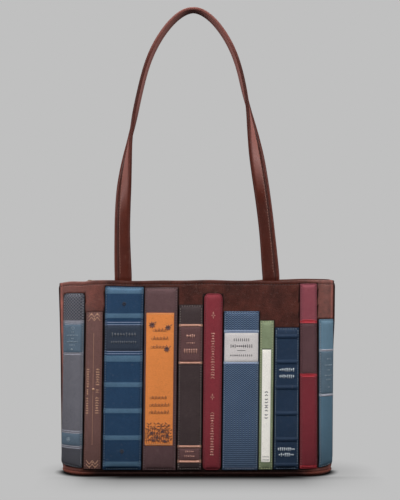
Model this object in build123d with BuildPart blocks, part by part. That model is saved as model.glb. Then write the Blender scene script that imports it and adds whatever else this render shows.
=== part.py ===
from build123d import *
import os
from math import cos, radians, sin

os.makedirs("parts", exist_ok=True)

# Driving dimensions in millimetres. X is the width, the front faces -Y, Z is up from the ground.
bag_width = 332
bag_height = 235
base_depth = 96
mouth_depth = 80
base_corner = 38
mouth_corner = 24
leather = 1.4
padding = 2.6
lining = 0.6

base_panel_height = 1.6
piping_radius = 2.0
piping_cord_radius = 1.2
piping_overhang = 1.4
board_height = 2.4
clear = 0.3
facing_height = 30
pocket_half_width = 70
pocket_z = (60, 170)

strap_width = 19
strap_thickness = 4.4
strap_lean = 4.4
strap_feet = (-90, 89)
strap_tuck = 29
hinge_height = 240
stub_top = 236.2
back_strap_spread = 1.042
back_strap_rise = 1.014
strap_sections = 36

zip_half_length = 118
zip_end_start = 120.3
zip_facing_inner = 8
zip_hinge_y = 33.2
zip_facing_top = 230.2
tape_thickness = 0.8
tape_span = (2.2, 16)
tooth_length = 1.3
tooth_height = 2.4
tooth_pitch = 3.0
chain_gap = 0.6
slider_x = -131
slider_length = 12
slider_half_width = 5.5
slider_plate = 1.2
pull_length = 24
pull_arm = 8
pull_half_width = 3.2
pull_wire = 1.2

# Heights of the stack that follow from the driving dimensions.
piping_z = base_panel_height + piping_radius
wall_z = base_panel_height + 2 * piping_radius
facing_z = bag_height - facing_height
lip_z = bag_height - leather
inside_wall = -(leather + padding)
facing_face = inside_wall - leather
lining_face = inside_wall - lining


def bag_form(grow, z_low, z_high):
    """The bag's tapering form between two heights, grown outwards by grow."""
    with BuildPart() as form:
        for z in (z_low, z_high):
            rise = z / bag_height
            depth = base_depth + (mouth_depth - base_depth) * rise
            corner = base_corner + (mouth_corner - base_corner) * rise
            with BuildSketch(Plane.XY.offset(z)):
                RectangleRounded(bag_width + 2 * grow, depth + 2 * grow, corner + grow)
        loft(ruled=True)
    return form.part


def half_depth(z):
    """Distance from the middle of the bag to its front face at height z."""
    return (base_depth + (mouth_depth - base_depth) * z / bag_height) / 2


def block(x_span, y_span, z_span):
    """A plain block between two limits along each axis."""
    with BuildPart() as made:
        with BuildSketch(Plane.XY.offset(z_span[0])):
            with Locations(((x_span[0] + x_span[1]) / 2, (y_span[0] + y_span[1]) / 2)):
                Rectangle(x_span[1] - x_span[0], y_span[1] - y_span[0])
        extrude(amount=z_span[1] - z_span[0])
    return made.part


def side_name(side):
    """Side -1 is the front and side 1 the back."""
    return "front" if side < 0 else "back"


def keep_side(side):
    """Which side of the XZ plane split keeps, whose normal points to the front."""
    return Keep.TOP if side < 0 else Keep.BOTTOM


def finish(piece, name):
    """Labels a finished piece and writes it."""
    piece.part.label = name
    export_step(piece.part, f"parts/{name}.step")


# Base: an outer leather panel, a stiff board, a padded lining and a piped seam round its edge.
with BuildPart() as base_panel:
    add(bag_form(-clear, 0, base_panel_height))
finish(base_panel, "base_panel")

board_inset = piping_overhang - 2 * piping_radius - clear
with BuildPart() as base_board:
    add(bag_form(board_inset, base_panel_height, base_panel_height + board_height))
finish(base_board, "base_board")

with BuildPart() as base_lining:
    add(bag_form(board_inset, base_panel_height + board_height, wall_z))
finish(base_lining, "base_lining")


def piping_ring(section_radius, hole_radius):
    """A round bead that follows the edge of the base, hollow where hole_radius is not zero."""
    path_grow = piping_overhang - piping_radius
    with BuildSketch(Plane.XY.offset(piping_z)) as outline:
        RectangleRounded(bag_width + 2 * path_grow, base_depth + 2 * path_grow, base_corner + path_grow)
    path = outline.sketch.face().outer_wire()
    with BuildPart() as ring:
        with BuildSketch(Plane(origin=path @ 0, z_dir=path % 0)):
            Circle(section_radius)
            if hole_radius:
                Circle(hole_radius, mode=Mode.SUBTRACT)
        sweep(path=path)
    return ring.part


with BuildPart() as piping_cord:
    add(piping_ring(piping_cord_radius, 0))
finish(piping_cord, "piping_cord")

with BuildPart() as piping_cover:
    add(piping_ring(piping_radius, piping_cord_radius))
finish(piping_cover, "piping_cover")

# Walls: per side, the sewn-in strap ends, leather panel, foam, lining and inner top band.
for side in (-1, 1):
    spread = 1 if side < 0 else back_strap_spread
    stub_form = bag_form(-leather, bag_height - strap_tuck, stub_top)
    stub_hollow = bag_form(inside_wall, bag_height - strap_tuck, stub_top)
    stub_gates = [
        block(
            (foot * spread - strap_width / 2, foot * spread + strap_width / 2),
            (min(0, side * base_depth), max(0, side * base_depth)),
            (bag_height - strap_tuck, stub_top),
        )
        for foot in strap_feet
    ]
    with BuildPart() as handle_ends:
        add(stub_gates)
        add(stub_form, mode=Mode.INTERSECT)
        add(stub_hollow, mode=Mode.SUBTRACT)
    finish(handle_ends, f"{side_name(side)}_handle_ends")

    with BuildPart() as panel:
        add(bag_form(0, wall_z, bag_height))
        add(bag_form(-leather, wall_z, lip_z), mode=Mode.SUBTRACT)
        add(bag_form(inside_wall, lip_z, bag_height), mode=Mode.SUBTRACT)
        split(bisect_by=Plane.XZ, keep=keep_side(side))
        add(handle_ends.part, mode=Mode.SUBTRACT)
    finish(panel, f"{side_name(side)}_panel")

    with BuildPart() as foam:
        add(bag_form(-leather, wall_z, lip_z))
        add(bag_form(inside_wall, wall_z, lip_z), mode=Mode.SUBTRACT)
        split(bisect_by=Plane.XZ, keep=keep_side(side))
        add(handle_ends.part, mode=Mode.SUBTRACT)
    finish(foam, f"{side_name(side)}_padding")

    with BuildPart() as wall_lining:
        add(bag_form(inside_wall, wall_z, facing_z))
        add(bag_form(lining_face, wall_z, facing_z), mode=Mode.SUBTRACT)
        split(bisect_by=Plane.XZ, keep=keep_side(side))
    finish(wall_lining, f"{side_name(side)}_lining")

    with BuildPart() as facing:
        add(bag_form(inside_wall, facing_z, bag_height))
        add(bag_form(facing_face, facing_z, bag_height), mode=Mode.SUBTRACT)
        split(bisect_by=Plane.XZ, keep=keep_side(side))
    finish(facing, f"{side_name(side)}_facing")

# Slip pocket sewn flat to the lining of the back wall.
with BuildPart() as slip_pocket:
    add(bag_form(lining_face, *pocket_z))
    add(bag_form(lining_face - lining, *pocket_z), mode=Mode.SUBTRACT)
    add(
        block((-pocket_half_width, pocket_half_width), (0, base_depth), pocket_z),
        mode=Mode.INTERSECT,
    )
finish(slip_pocket, "slip_pocket")


def front_patch(x_span, z_span, low, high):
    """A patch that follows the front of the bag, from low to high above its leather."""
    outer = bag_form(high, *z_span)
    inner = bag_form(low, *z_span)
    gate = block(x_span, (-base_depth, 0), z_span)
    with BuildPart() as patch:
        add(outer)
        add(inner, mode=Mode.SUBTRACT)
        add(gate, mode=Mode.INTERSECT)
    return patch.part


# Book spines appliqued on the front: left, right, bottom, top, thickness.
spine_bottom = 8.5
spines = {
    "spine_slate": (-163.5, -137.0, 221, 3.0),
    "spine_gilt_brown": (-134.7, -114.4, 197, 2.4),
    "spine_wide_blue": (-111.8, -65.5, 228, 3.6),
    "spine_plum": (-64.2, -24.2, 227, 3.2),
    "spine_charcoal": (-22.7, 6.1, 206, 3.0),
    "spine_dark_red": (7.6, 29.7, 219, 3.2),
    "spine_patterned_blue": (31.3, 74.0, 198, 3.2),
    "spine_green": (74.8, 92.2, 187, 2.6),
    "spine_navy": (92.8, 122.9, 178.5, 3.2),
    "spine_red": (123.5, 144.2, 231, 3.0),
    "spine_teal": (146.4, 164.8, 188.5, 3.0),
}
for name, (left, right, top, thickness) in spines.items():
    with BuildPart() as spine:
        add(front_patch((left, right), (spine_bottom, top), 0, thickness))
    finish(spine, name)

# Thin title labels glued and stitched on the spines: spine, inset left and right, z spans.
label_thickness = 0.4
labels = {
    "label_slate": ("spine_slate", 0, 0, [(36.6, 51), (149.4, 183)]),
    "label_wide_blue": ("spine_wide_blue", 0, 0, [(150.6, 180.6)]),
    "label_orange": ("spine_plum", 2.2, 4.2, [(37.3, 196.4)]),
    "label_charcoal": ("spine_charcoal", 0, 0, [(19.8, 34.2), (137.4, 179.4)]),
    "label_white": ("spine_patterned_blue", 1, 1, [(137.4, 172.2)]),
    "label_ivory": ("spine_green", 2.8, 3.2, [(17.4, 152.2)]),
    "label_maroon": ("spine_red", 0, 0, [(123.2, 183)]),
    "label_teal": ("spine_teal", 0, 0, [(98.8, 149.8)]),
}
for name, (spine_name, inset_left, inset_right, z_spans) in labels.items():
    left, right, top, thickness = spines[spine_name]
    x_span = (left + inset_left, right - inset_right)
    with BuildPart() as label:
        for z_span in z_spans:
            add(front_patch(x_span, z_span, thickness, thickness + label_thickness))
    finish(label, name)

# Shoulder straps: a flat strap that rises from each foot, turns a quarter about its own length
# on the way up and lies flat side up over the top. Points are (across, up) from the hinge line.
strap_arch = [
    (-90, 0),
    (-90.5, 75),
    (-84, 153),
    (-68.5, 232),
    (-46.5, 291.5),
    (-4.3, 326),
    (36.5, 291.5),
    (55, 232),
    (71, 153),
    (82.5, 75),
    (89, 0),
]
left_turn = (44, 176)
right_turn = (92, 221)


def smooth_step(value, low, high):
    """Rises smoothly from 0 at low to 1 at high."""
    share = min(1, max(0, (value - low) / (high - low)))
    return share * share * (3 - 2 * share)


def strap_loft(side):
    """One side's strap from foot to foot."""
    spread = 1 if side < 0 else back_strap_spread
    rise = 1 if side < 0 else back_strap_rise
    lean = radians(strap_lean)
    arch_plane = Plane(
        origin=(0, side * strap_y, hinge_height),
        x_dir=(1, 0, 0),
        z_dir=(0, -cos(lean), -side * sin(lean)),
    )
    with BuildLine(arch_plane, mode=Mode.PRIVATE) as arch:
        Spline(*[(across * spread, up * rise) for across, up in strap_arch])
    curve = arch.line.edge()
    face_at_foot = arch_plane.z_dir * -side
    with BuildPart() as strap:
        for step in range(strap_sections + 1):
            along = step / strap_sections
            tangent = curve % along
            outward = arch_plane.z_dir.cross(tangent)
            up = arch_plane.to_local_coords(curve @ along).Y
            turn = radians(90) * smooth_step(up, *(left_turn if along < 0.5 else right_turn))
            face = face_at_foot * cos(turn) + outward * sin(turn)
            with BuildSketch(Plane(curve @ along, x_dir=tangent.cross(face), z_dir=tangent)):
                Rectangle(strap_width, strap_thickness)
        loft(ruled=True, clean=False)
    return strap.part


# The straps turn about their feet, where a half round end leaves them room to fold outwards.
strap_y = half_depth(hinge_height) - leather - padding / 2
for side in (-1, 1):
    spread = 1 if side < 0 else back_strap_spread
    with BuildPart() as handle:
        add(strap_loft(side))
        with Locations(*[(foot * spread, side * strap_y, hinge_height) for foot in strap_feet]):
            Cylinder(strap_thickness / 2, strap_width, rotation=(0, 90, 0))
    finish(handle, f"{side_name(side)}_handle")

# Zip: per side, a folding leather flap with a tape and a row of teeth on its free edge.
zip_facing_middle = zip_facing_top - leather / 2
tape_top = zip_facing_top - leather
tooth_z = tape_top - tape_thickness / 2 - tooth_height / 2
for side in (-1, 1):
    with BuildPart() as zip_facing:
        with BuildSketch(Plane.YZ.offset(-zip_half_length)):
            with Locations((side * (zip_hinge_y + zip_facing_inner) / 2, zip_facing_middle)):
                Rectangle(zip_hinge_y - zip_facing_inner, leather)
            with Locations((side * zip_hinge_y, zip_facing_middle)):
                Circle(leather / 2)
        extrude(amount=2 * zip_half_length)
    finish(zip_facing, f"zip_facing_{side_name(side)}")

    near, far = sorted((side * tape_span[0], side * tape_span[1]))
    with BuildPart() as zip_tape:
        add(block((-zip_half_length, zip_half_length), (near, far), (tape_top - tape_thickness, tape_top)))
    finish(zip_tape, f"zip_tape_{side_name(side)}")

    tooth_count = int(2 * zip_half_length / tooth_pitch)
    tooth_depth = tape_span[0] - chain_gap
    stagger = side * tooth_pitch / 4
    tooth_plane = Plane((stagger, side * (chain_gap + tooth_depth / 2), tooth_z))
    with BuildPart() as zip_teeth:
        with BuildSketch(tooth_plane):
            with GridLocations(tooth_pitch, 0, tooth_count, 1):
                Rectangle(tooth_length, tooth_depth)
        extrude(amount=tooth_height)
    finish(zip_teeth, f"zip_teeth_{side_name(side)}")

# Fixed ends of the zip: leather sewn to the inner band, the ends of the tape, teeth and stops.
slot_end = 143
slot_half_width = 7
end_form = bag_form(facing_face, tape_top, zip_facing_top)
for side, name in ((-1, "zip_end_left"), (1, "zip_end_right")):
    far_side, near_side = side * bag_width / 2, side * zip_end_start
    gate = block(
        (min(far_side, near_side), max(far_side, near_side)),
        (-base_depth, base_depth),
        (tape_top, zip_facing_top),
    )
    slot = block(
        (min(near_side, side * slot_end), max(near_side, side * slot_end)),
        (-slot_half_width, slot_half_width),
        (tape_top, zip_facing_top),
    )
    with BuildPart() as zip_end:
        add(end_form)
        add(gate, mode=Mode.INTERSECT)
        add(slot, mode=Mode.SUBTRACT)
    finish(zip_end, name)

tape_end_length = slot_end + 3 - zip_end_start
with BuildPart() as zip_tape_ends:
    with BuildSketch(Plane.XY.offset(tape_top - tape_thickness)):
        with GridLocations(2 * zip_end_start + tape_end_length, sum(tape_span), 2, 2):
            Rectangle(tape_end_length, tape_span[1] - tape_span[0])
    extrude(amount=tape_thickness)
finish(zip_tape_ends, "zip_tape_ends")

end_tooth_count = 5
end_tooth_middle = zip_end_start + 1 + end_tooth_count * tooth_pitch / 2
with BuildPart() as zip_teeth_ends:
    with BuildSketch(Plane.XY.offset(tooth_z)):
        with GridLocations(2 * end_tooth_middle, 2 * chain_gap + tooth_depth, 2, 2):
            with GridLocations(tooth_pitch, 0, end_tooth_count, 1):
                Rectangle(tooth_length, tooth_depth)
    extrude(amount=tooth_height)
finish(zip_teeth_ends, "zip_teeth_ends")

stop_length = 2.4
with BuildPart() as zip_stops:
    with BuildSketch(Plane.XY.offset(tooth_z)):
        with GridLocations(2 * (slot_end - stop_length / 2), 0, 2, 1):
            Rectangle(stop_length, 2 * tape_span[0])
    extrude(amount=tooth_height)
finish(zip_stops, "zip_stops")

# Slider: two plates joined by a thin post between the rows, with edges that hold the tape.
upper_z = tooth_z + tooth_height + clear
lower_z = tooth_z - clear - slider_plate
lip_width = 1.2
post_length = 4
bail_half_length = 4.6
bail_half_width = 1.1
bail_wall = 1.0
bail_top = 235.8
with BuildPart() as zip_slider:
    with BuildSketch(Plane((slider_x, 0, lower_z))):
        RectangleRounded(slider_length, 2 * slider_half_width, 2)
    extrude(amount=slider_plate)
    with BuildSketch(Plane((slider_x, 0, upper_z))):
        RectangleRounded(slider_length, 2 * slider_half_width, 2)
    extrude(amount=slider_plate)
    with BuildSketch(Plane((slider_x, 0, lower_z + slider_plate))):
        Rectangle(post_length, chain_gap)
    extrude(amount=upper_z - lower_z - slider_plate)
    lip_spacing = 2 * slider_half_width - lip_width
    with BuildSketch(Plane((slider_x, 0, tape_top + clear))):
        with GridLocations(0, lip_spacing, 1, 2):
            Rectangle(slider_length - 4, lip_width)
    extrude(amount=upper_z - tape_top - clear)
    with BuildSketch(Plane((slider_x, 0, lower_z + slider_plate))):
        with GridLocations(0, lip_spacing, 1, 2):
            Rectangle(slider_length - 4, lip_width)
    extrude(amount=tape_top - tape_thickness - clear - lower_z - slider_plate)
    bail_bottom = upper_z + slider_plate
    with BuildSketch(Plane.XZ.offset(-bail_half_width)):
        with Locations((slider_x, (bail_bottom + bail_top) / 2)):
            Rectangle(2 * bail_half_length, bail_top - bail_bottom)
        with Locations((slider_x, (bail_bottom + bail_top - bail_wall) / 2)):
            Rectangle(
                2 * (bail_half_length - bail_wall),
                bail_top - bail_wall - bail_bottom,
                mode=Mode.SUBTRACT,
            )
    extrude(amount=2 * bail_half_width)
    bail_corners = zip_slider.edges().filter_by(Axis.Y).group_by(Axis.Z)[-1]
    fillet(bail_corners, bail_wall * 0.9)
finish(zip_slider, "zip_slider")

# Pull: a flat tab with two arms and a cross wire that turns inside the slider's bail.
pull_x = slider_x + 2.2
pull_z = bail_bottom + 1.5
arm_width = 1.6
with BuildPart() as zip_pull:
    with BuildSketch(Plane((pull_x, 0, pull_z - pull_wire / 2))):
        with Locations((pull_arm / 2, 0)):
            Rectangle(pull_arm, 2 * pull_half_width)
            Rectangle(pull_arm, 2 * (pull_half_width - arm_width), mode=Mode.SUBTRACT)
        with Locations(((pull_arm + pull_length - pull_half_width) / 2, 0)):
            Rectangle(pull_length - pull_half_width - pull_arm, 2 * pull_half_width)
        with Locations((pull_length - pull_half_width, 0)):
            Circle(pull_half_width)
            Circle(1.2, mode=Mode.SUBTRACT)
    extrude(amount=pull_wire)
    with Locations((pull_x, 0, pull_z)):
        Cylinder(pull_wire / 2, 2 * pull_half_width, rotation=(90, 0, 0))
finish(zip_pull, "zip_pull")
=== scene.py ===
"""Looks of a zipped leather shoulder bag whose front is a shelf of padded book spines."""

import math
import random

import bmesh
import bpy
import numpy as np
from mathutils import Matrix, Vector


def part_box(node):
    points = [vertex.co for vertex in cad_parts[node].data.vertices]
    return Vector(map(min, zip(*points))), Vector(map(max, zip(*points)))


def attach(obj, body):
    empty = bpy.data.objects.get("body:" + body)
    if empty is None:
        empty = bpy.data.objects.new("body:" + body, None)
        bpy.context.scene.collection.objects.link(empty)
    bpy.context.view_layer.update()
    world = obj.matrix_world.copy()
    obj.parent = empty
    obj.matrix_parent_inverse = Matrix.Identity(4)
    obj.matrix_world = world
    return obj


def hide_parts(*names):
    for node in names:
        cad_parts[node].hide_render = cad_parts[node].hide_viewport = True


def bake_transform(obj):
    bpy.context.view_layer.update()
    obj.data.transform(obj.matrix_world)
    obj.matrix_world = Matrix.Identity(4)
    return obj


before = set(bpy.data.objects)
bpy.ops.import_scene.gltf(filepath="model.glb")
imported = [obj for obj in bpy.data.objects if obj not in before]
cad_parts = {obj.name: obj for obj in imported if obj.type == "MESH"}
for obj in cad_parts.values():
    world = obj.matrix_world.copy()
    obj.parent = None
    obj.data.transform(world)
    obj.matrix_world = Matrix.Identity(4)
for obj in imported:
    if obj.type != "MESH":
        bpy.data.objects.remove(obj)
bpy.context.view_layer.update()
chance = random.Random(11)


def node_box(name):
    """A CAD node's lowest and highest corners in millimetres, the unit of this script.
    mesh_piece() turns them into metres."""
    return [np.array(corner) * 1000 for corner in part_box(name)]


# ---------------------------------------------------------------- shape of the bag

panel_low, panel_high = node_box("front_panel")
half_width, bag_height, wall_z = panel_high[0], panel_high[2], panel_low[2]
leather, padding, lining = 1.4, 2.6, 0.6
inside_wall = -(leather + padding)
lining_face = inside_wall - lining
facing_face = inside_wall - leather
facing_z = node_box("front_facing")[0][2]


def smooth_step(value, low, high):
    share = np.clip((np.asarray(value, float) - low) / (high - low), 0, 1)
    return share * share * (3 - 2 * share)


def tapered(at_base, at_mouth):
    """A size that changes evenly from the bag's base to its mouth, as a function of z."""
    return lambda z: at_base + (at_mouth - at_base) * np.asarray(z, float) / bag_height


half_depth = tapered(48.0, 40.0)
corner_radius = tapered(38.0, 14.0)


def round_from_front(fraction, z):
    """Distance round the bag from the front's middle: 0 to 1 is the flat front, 1 to 2 the corner
    and 2 to 3 the side as far as its seam."""
    size = np.abs(fraction)
    corner = corner_radius(z)
    flat = (half_width - corner) * np.minimum(size, 1)
    bend = corner * math.pi / 2 * np.clip(size - 1, 0, 1)
    side = (half_depth(z) - corner) * np.clip(size - 2, 0, 1)
    return np.sign(fraction) * (flat + bend + side)


def round_at_x(x, z):
    """Distance round the bag of the front point that lies at x."""
    corner = corner_radius(z)
    flat = half_width - corner
    angle = np.arcsin(np.clip((np.abs(x) - flat) / corner, 0, 0.999))
    return np.sign(x) * (np.minimum(np.abs(x), flat) + corner * angle)


def round_corner(distance, z):
    """For a distance round the bag: its corner's radius, the flat front before the corner, the
    angle turned in it and the distance past it."""
    corner = corner_radius(z)
    flat = half_width - corner
    beyond = np.abs(distance) - flat
    quarter = math.pi / 2
    return corner, flat, np.clip(beyond / corner, 0, quarter), np.maximum(beyond - corner * quarter, 0)


def on_form(distance, z, height):
    """Points of the bag's form: distance round it, z, and height above its leather."""
    distance, z, height = np.broadcast_arrays(distance, z, height)
    corner, flat, angle, past = round_corner(distance, z)
    x = np.minimum(np.abs(distance), flat) + (corner + height) * np.sin(angle)
    y = -half_depth(z) + corner - (corner + height) * np.cos(angle) + past
    return np.stack([np.sign(distance) * x, y, z], axis=-1)


side_tuck, foot_tuck = 7.0, 3.4
left_flare, right_flare = 1.6, 0.64
corner_droop, back_droop = 3.4, 1.9


def soften(points):
    """What use does to the stiff form: the left side pulled in by the zip, flared corners with one
    that droops, a tucked foot, soft walls. The zip's own line stays straight."""
    points = np.array(points, float)
    x, y, z = np.moveaxis(points, -1, 0).copy()
    middle = np.clip(1 - (y / 31) ** 2, 0, 1) ** 1.5
    tuck = side_tuck * smooth_step(z, 90, bag_height) * middle * (x < 0)
    flare = np.where(x < 0, left_flare, right_flare) * smooth_step(z, 110, bag_height) * (1 - middle)
    foot = foot_tuck * (1 - smooth_step(z, -4, 18)) * smooth_step(np.abs(x), 128, 160)
    points[..., 0] = x - np.sign(x) * ((tuck - flare) * smooth_step(np.abs(x), 146, 163) + foot)
    swell = 0.42 * np.sin(x / 37 + z / 61) + 0.24 * np.sin(x / 17 - z / 29 + 2)
    points[..., 1] = y + swell * smooth_step(z, 20, 120) * np.clip(y / 30, -1, 1)
    near_corner = 0.42 * smooth_step(-x, 124, 138) + 0.58 * smooth_step(-x, 150, 165)
    droop = corner_droop * near_corner * np.clip(z / bag_height, 0, 1) ** 3
    at_back = smooth_step(y, 12, 30) * smooth_step(z, 205, bag_height)
    droop += back_droop * at_back * smooth_step(-x, -92, -62)
    ripple = (0.35 * np.sin(x / 23 + 1.1) + 0.25 * np.sin(x / 9.5)) * smooth_step(z, 200, bag_height)
    loose = np.maximum(smooth_step(np.abs(y), 14, 34), smooth_step(np.abs(x), 148, 160))
    points[..., 2] = z + (ripple - droop) * loose
    return points


# ---------------------------------------------------------------- mesh helpers

def unit(vectors):
    return vectors / np.linalg.norm(vectors, axis=-1, keepdims=True)


def circle(count):
    """Cosines and sines of even turns round a circle."""
    turns = np.arange(count) * math.tau / count
    return np.cos(turns), np.sin(turns)


def travelled(path):
    """Distance along a path to each of its points."""
    return np.append(0, np.cumsum(np.linalg.norm(np.diff(path, axis=0), axis=1)))


def sampled(path, at, places):
    """The points that lie at places along a path whose own points lie at at."""
    return np.stack([np.interp(places, at, column) for column in np.transpose(path)], axis=1)


def grid_faces(rows, columns, close_rows=False, close_columns=False):
    """Quads of a grid whose points are numbered row by row."""
    numbers = np.arange(rows * columns).reshape(rows, columns)
    if close_rows:
        numbers = np.vstack([numbers, numbers[:1]])
    if close_columns:
        numbers = np.hstack([numbers, numbers[:, :1]])
    corners = [numbers[:-1, :-1], numbers[:-1, 1:], numbers[1:, 1:], numbers[1:, :-1]]
    return np.stack(corners, axis=-1).reshape(-1, 4).tolist()


def tube_faces(rings, around):
    """Faces of a tube of rings, capped at both ends."""
    last = (rings - 1) * around
    caps = [list(range(around)), list(range(last, last + around))]
    return grid_faces(rings, around, close_columns=True) + caps


def closed_sheet(upper, lower, faces):
    """A closed thin solid from a sheet's upper and lower points and its faces."""
    upper, lower = (np.asarray(points, float).reshape(-1, 3) for points in (upper, lower))
    count = len(upper)
    edges = {}
    for face in faces:
        for here, there in zip(face, face[1:] + face[:1]):
            if edges.pop((there, here), None) is None:
                edges[(here, there)] = True
    both = faces + [[corner + count for corner in face][::-1] for face in faces]
    both += [[there, here, here + count, there + count] for here, there in edges]
    return np.concatenate([upper, lower]), both


def mesh_piece(name, parts, materials, slot, replaces=(), shade=(), body="root"):
    """A piece from parts, each (points in mm, faces, material index). shade, one number for each
    point of the first part, darkens or lightens its material there."""
    points, faces, indices = np.zeros((0, 3)), [], []
    for part_points, part_faces, index in parts:
        faces += [[corner + len(points) for corner in face] for face in part_faces]
        indices += [index] * len(part_faces)
        points = np.concatenate([points, np.reshape(part_points, (-1, 3))])
    mesh = bpy.data.meshes.new(name)
    mesh.from_pydata((points / 1000).tolist(), [], faces)
    for material in materials:
        mesh.materials.append(material)
    mesh.polygons.foreach_set("material_index", indices)
    mesh.polygons.foreach_set("use_smooth", [True] * len(faces))
    shades = np.zeros(len(points), np.float32)
    shades[:np.size(shade)] = np.ravel(shade)
    mesh.attributes.new("shade", "FLOAT", "POINT").data.foreach_set("value", shades)
    solid = bmesh.new()
    solid.from_mesh(mesh)
    bmesh.ops.recalc_face_normals(solid, faces=solid.faces)
    solid.to_mesh(mesh)
    solid.free()
    piece = bpy.data.objects.new(name, mesh)
    bpy.context.scene.collection.objects.link(piece)
    if body:
        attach(piece, body)
    if replaces:
        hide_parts(*replaces)
    return piece


# One stitch, end to end: (share of its length, size, lift), the last two in radii.
stitch_rings = [(-0.5, 0.35, -0.35), (-0.36, 0.85, 0.1), (0, 1.0, 0.3), (0.36, 0.85, 0.1), (0.5, 0.35, -0.35)]


def seam(path, outwards, pitch=3.5, length=2.5, radius=0.32, index=0):
    """A row of stitches along a path, each a small bowed capsule, as a part of a piece."""
    at = travelled(path)
    places = np.arange(pitch / 2, at[-1] - pitch * 0.3, pitch)
    centres, ahead, behind = (sampled(path, at, places + step) for step in (0, 0.4, -0.4))
    nearest = [np.argmin(np.linalg.norm(path - centre, axis=1)) for centre in centres]
    along = unit(ahead - behind)
    across = unit(np.cross(along, outwards[nearest]))
    upward = np.cross(across, along)
    share, size, lift = np.array(stitch_rings).T[:, :, None]
    cosines, sines = circle(6)
    upwards = radius * (size * sines * 0.8 + lift)
    offsets = np.broadcast_arrays(share * length, radius * size * cosines, upwards)
    run, side, rise = (np.reshape(offset, (1, -1, 1)) for offset in offsets)
    points = centres[:, None] + along[:, None] * run + across[:, None] * side + upward[:, None] * rise
    one, count = tube_faces(len(stitch_rings), len(cosines)), run.size
    faces = [[corner + stitch * count for corner in face] for stitch in range(len(centres)) for face in one]
    return points, faces, index


# ---------------------------------------------------------------- materials

def colour(red, green, blue):
    """Linear colour of an 8-bit display colour."""
    value = np.array([red, green, blue]) / 255
    linear = np.where(value <= 0.04045, value / 12.92, ((value + 0.055) / 1.055) ** 2.4)
    return (*linear.tolist(), 1.0)


def grey(value):
    return (value, value, value, 1.0)


def dimmed(shade, share):
    return (*(value * share for value in shade[:3]), 1.0)


class Tree:
    """A material, with short calls that add its nodes."""

    def __init__(self, name, **shader):
        self.material = bpy.data.materials.new(name)
        self.material.use_nodes = True
        self.tree = self.material.node_tree
        self.tree.nodes.clear()
        self.shader = self.add("BsdfPrincipled", **shader)
        self.output = self.add("OutputMaterial", Surface=self.shader.outputs["BSDF"])

    def add(self, kind, settings=None, **inputs):
        made = self.tree.nodes.new(f"ShaderNode{kind}")
        for key, value in (settings or {}).items():
            setattr(made, key, value)
        for key, value in inputs.items():
            self.feed(made.inputs[key.replace("_", " ")], value)
        return made

    def feed(self, socket, value):
        if isinstance(value, bpy.types.NodeSocket):
            self.tree.links.new(value, socket)
        else:
            socket.default_value = value[:3] if socket.type == "VECTOR" else value

    def paint(self, shade):
        self.feed(self.shader.inputs["Base Color"], shade)

    def place(self):
        return self.add("TexCoord").outputs["Object"]

    def axes(self):
        return self.add("SeparateXYZ", Vector=self.place()).outputs

    def painted_shade(self):
        return self.add("Attribute", {"attribute_name": "shade"}).outputs["Fac"]

    def noise(self, scale, detail=3.0, roughness=0.55):
        made = self.add("TexNoise", Vector=self.place(), Scale=scale, Detail=detail, Roughness=roughness)
        return made.outputs["Fac"]

    def maths(self, operation, *values):
        made = self.add("Math", {"operation": operation})
        for socket, value in zip(made.inputs, values):
            self.feed(socket, value)
        return made.outputs[0]

    def product(self, first, second):
        return self.maths("MULTIPLY", first, second)

    def span(self, value, low, high, new_low=0.0, new_high=1.0):
        made = self.add("MapRange")
        for socket, item in zip(made.inputs, (value, low, high, new_low, new_high)):
            self.feed(socket, item)
        return made.outputs[0]

    def mix(self, factor, first, second):
        made = self.add("Mix", {"data_type": "RGBA"}, Factor=factor, A=first, B=second)
        return made.outputs["Result"]

    def scaled(self, shade, factor):
        made = self.add("VectorMath", {"operation": "SCALE"}, Scale=factor)
        self.feed(made.inputs[0], shade)
        return made.outputs[0]

    def bands(self, value, stops):
        """Plain bands of colour, each from its stop on."""
        made = self.add("ValToRGB", Fac=value)
        ramp = made.color_ramp
        ramp.interpolation = "CONSTANT"
        ramp.elements.remove(ramp.elements[-1])
        ramp.elements[0].position, ramp.elements[0].color = stops[0]
        for position, shade in stops[1:]:
            ramp.elements.new(position).color = shade
        return made.outputs["Color"]

    def bump(self, height, distance, strength=1.0):
        made = self.add("Bump", Strength=strength, Distance=distance, Height=height)
        self.feed(self.shader.inputs["Normal"], made.outputs["Normal"])


# The first is a pale painted sheen, mixed in where the shade attribute is high; the second is real scuffing.
painted_sheen_colour, scuff_colour = (0.34, 0.22, 0.21, 1.0), (0.42, 0.33, 0.28, 1.0)


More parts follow.
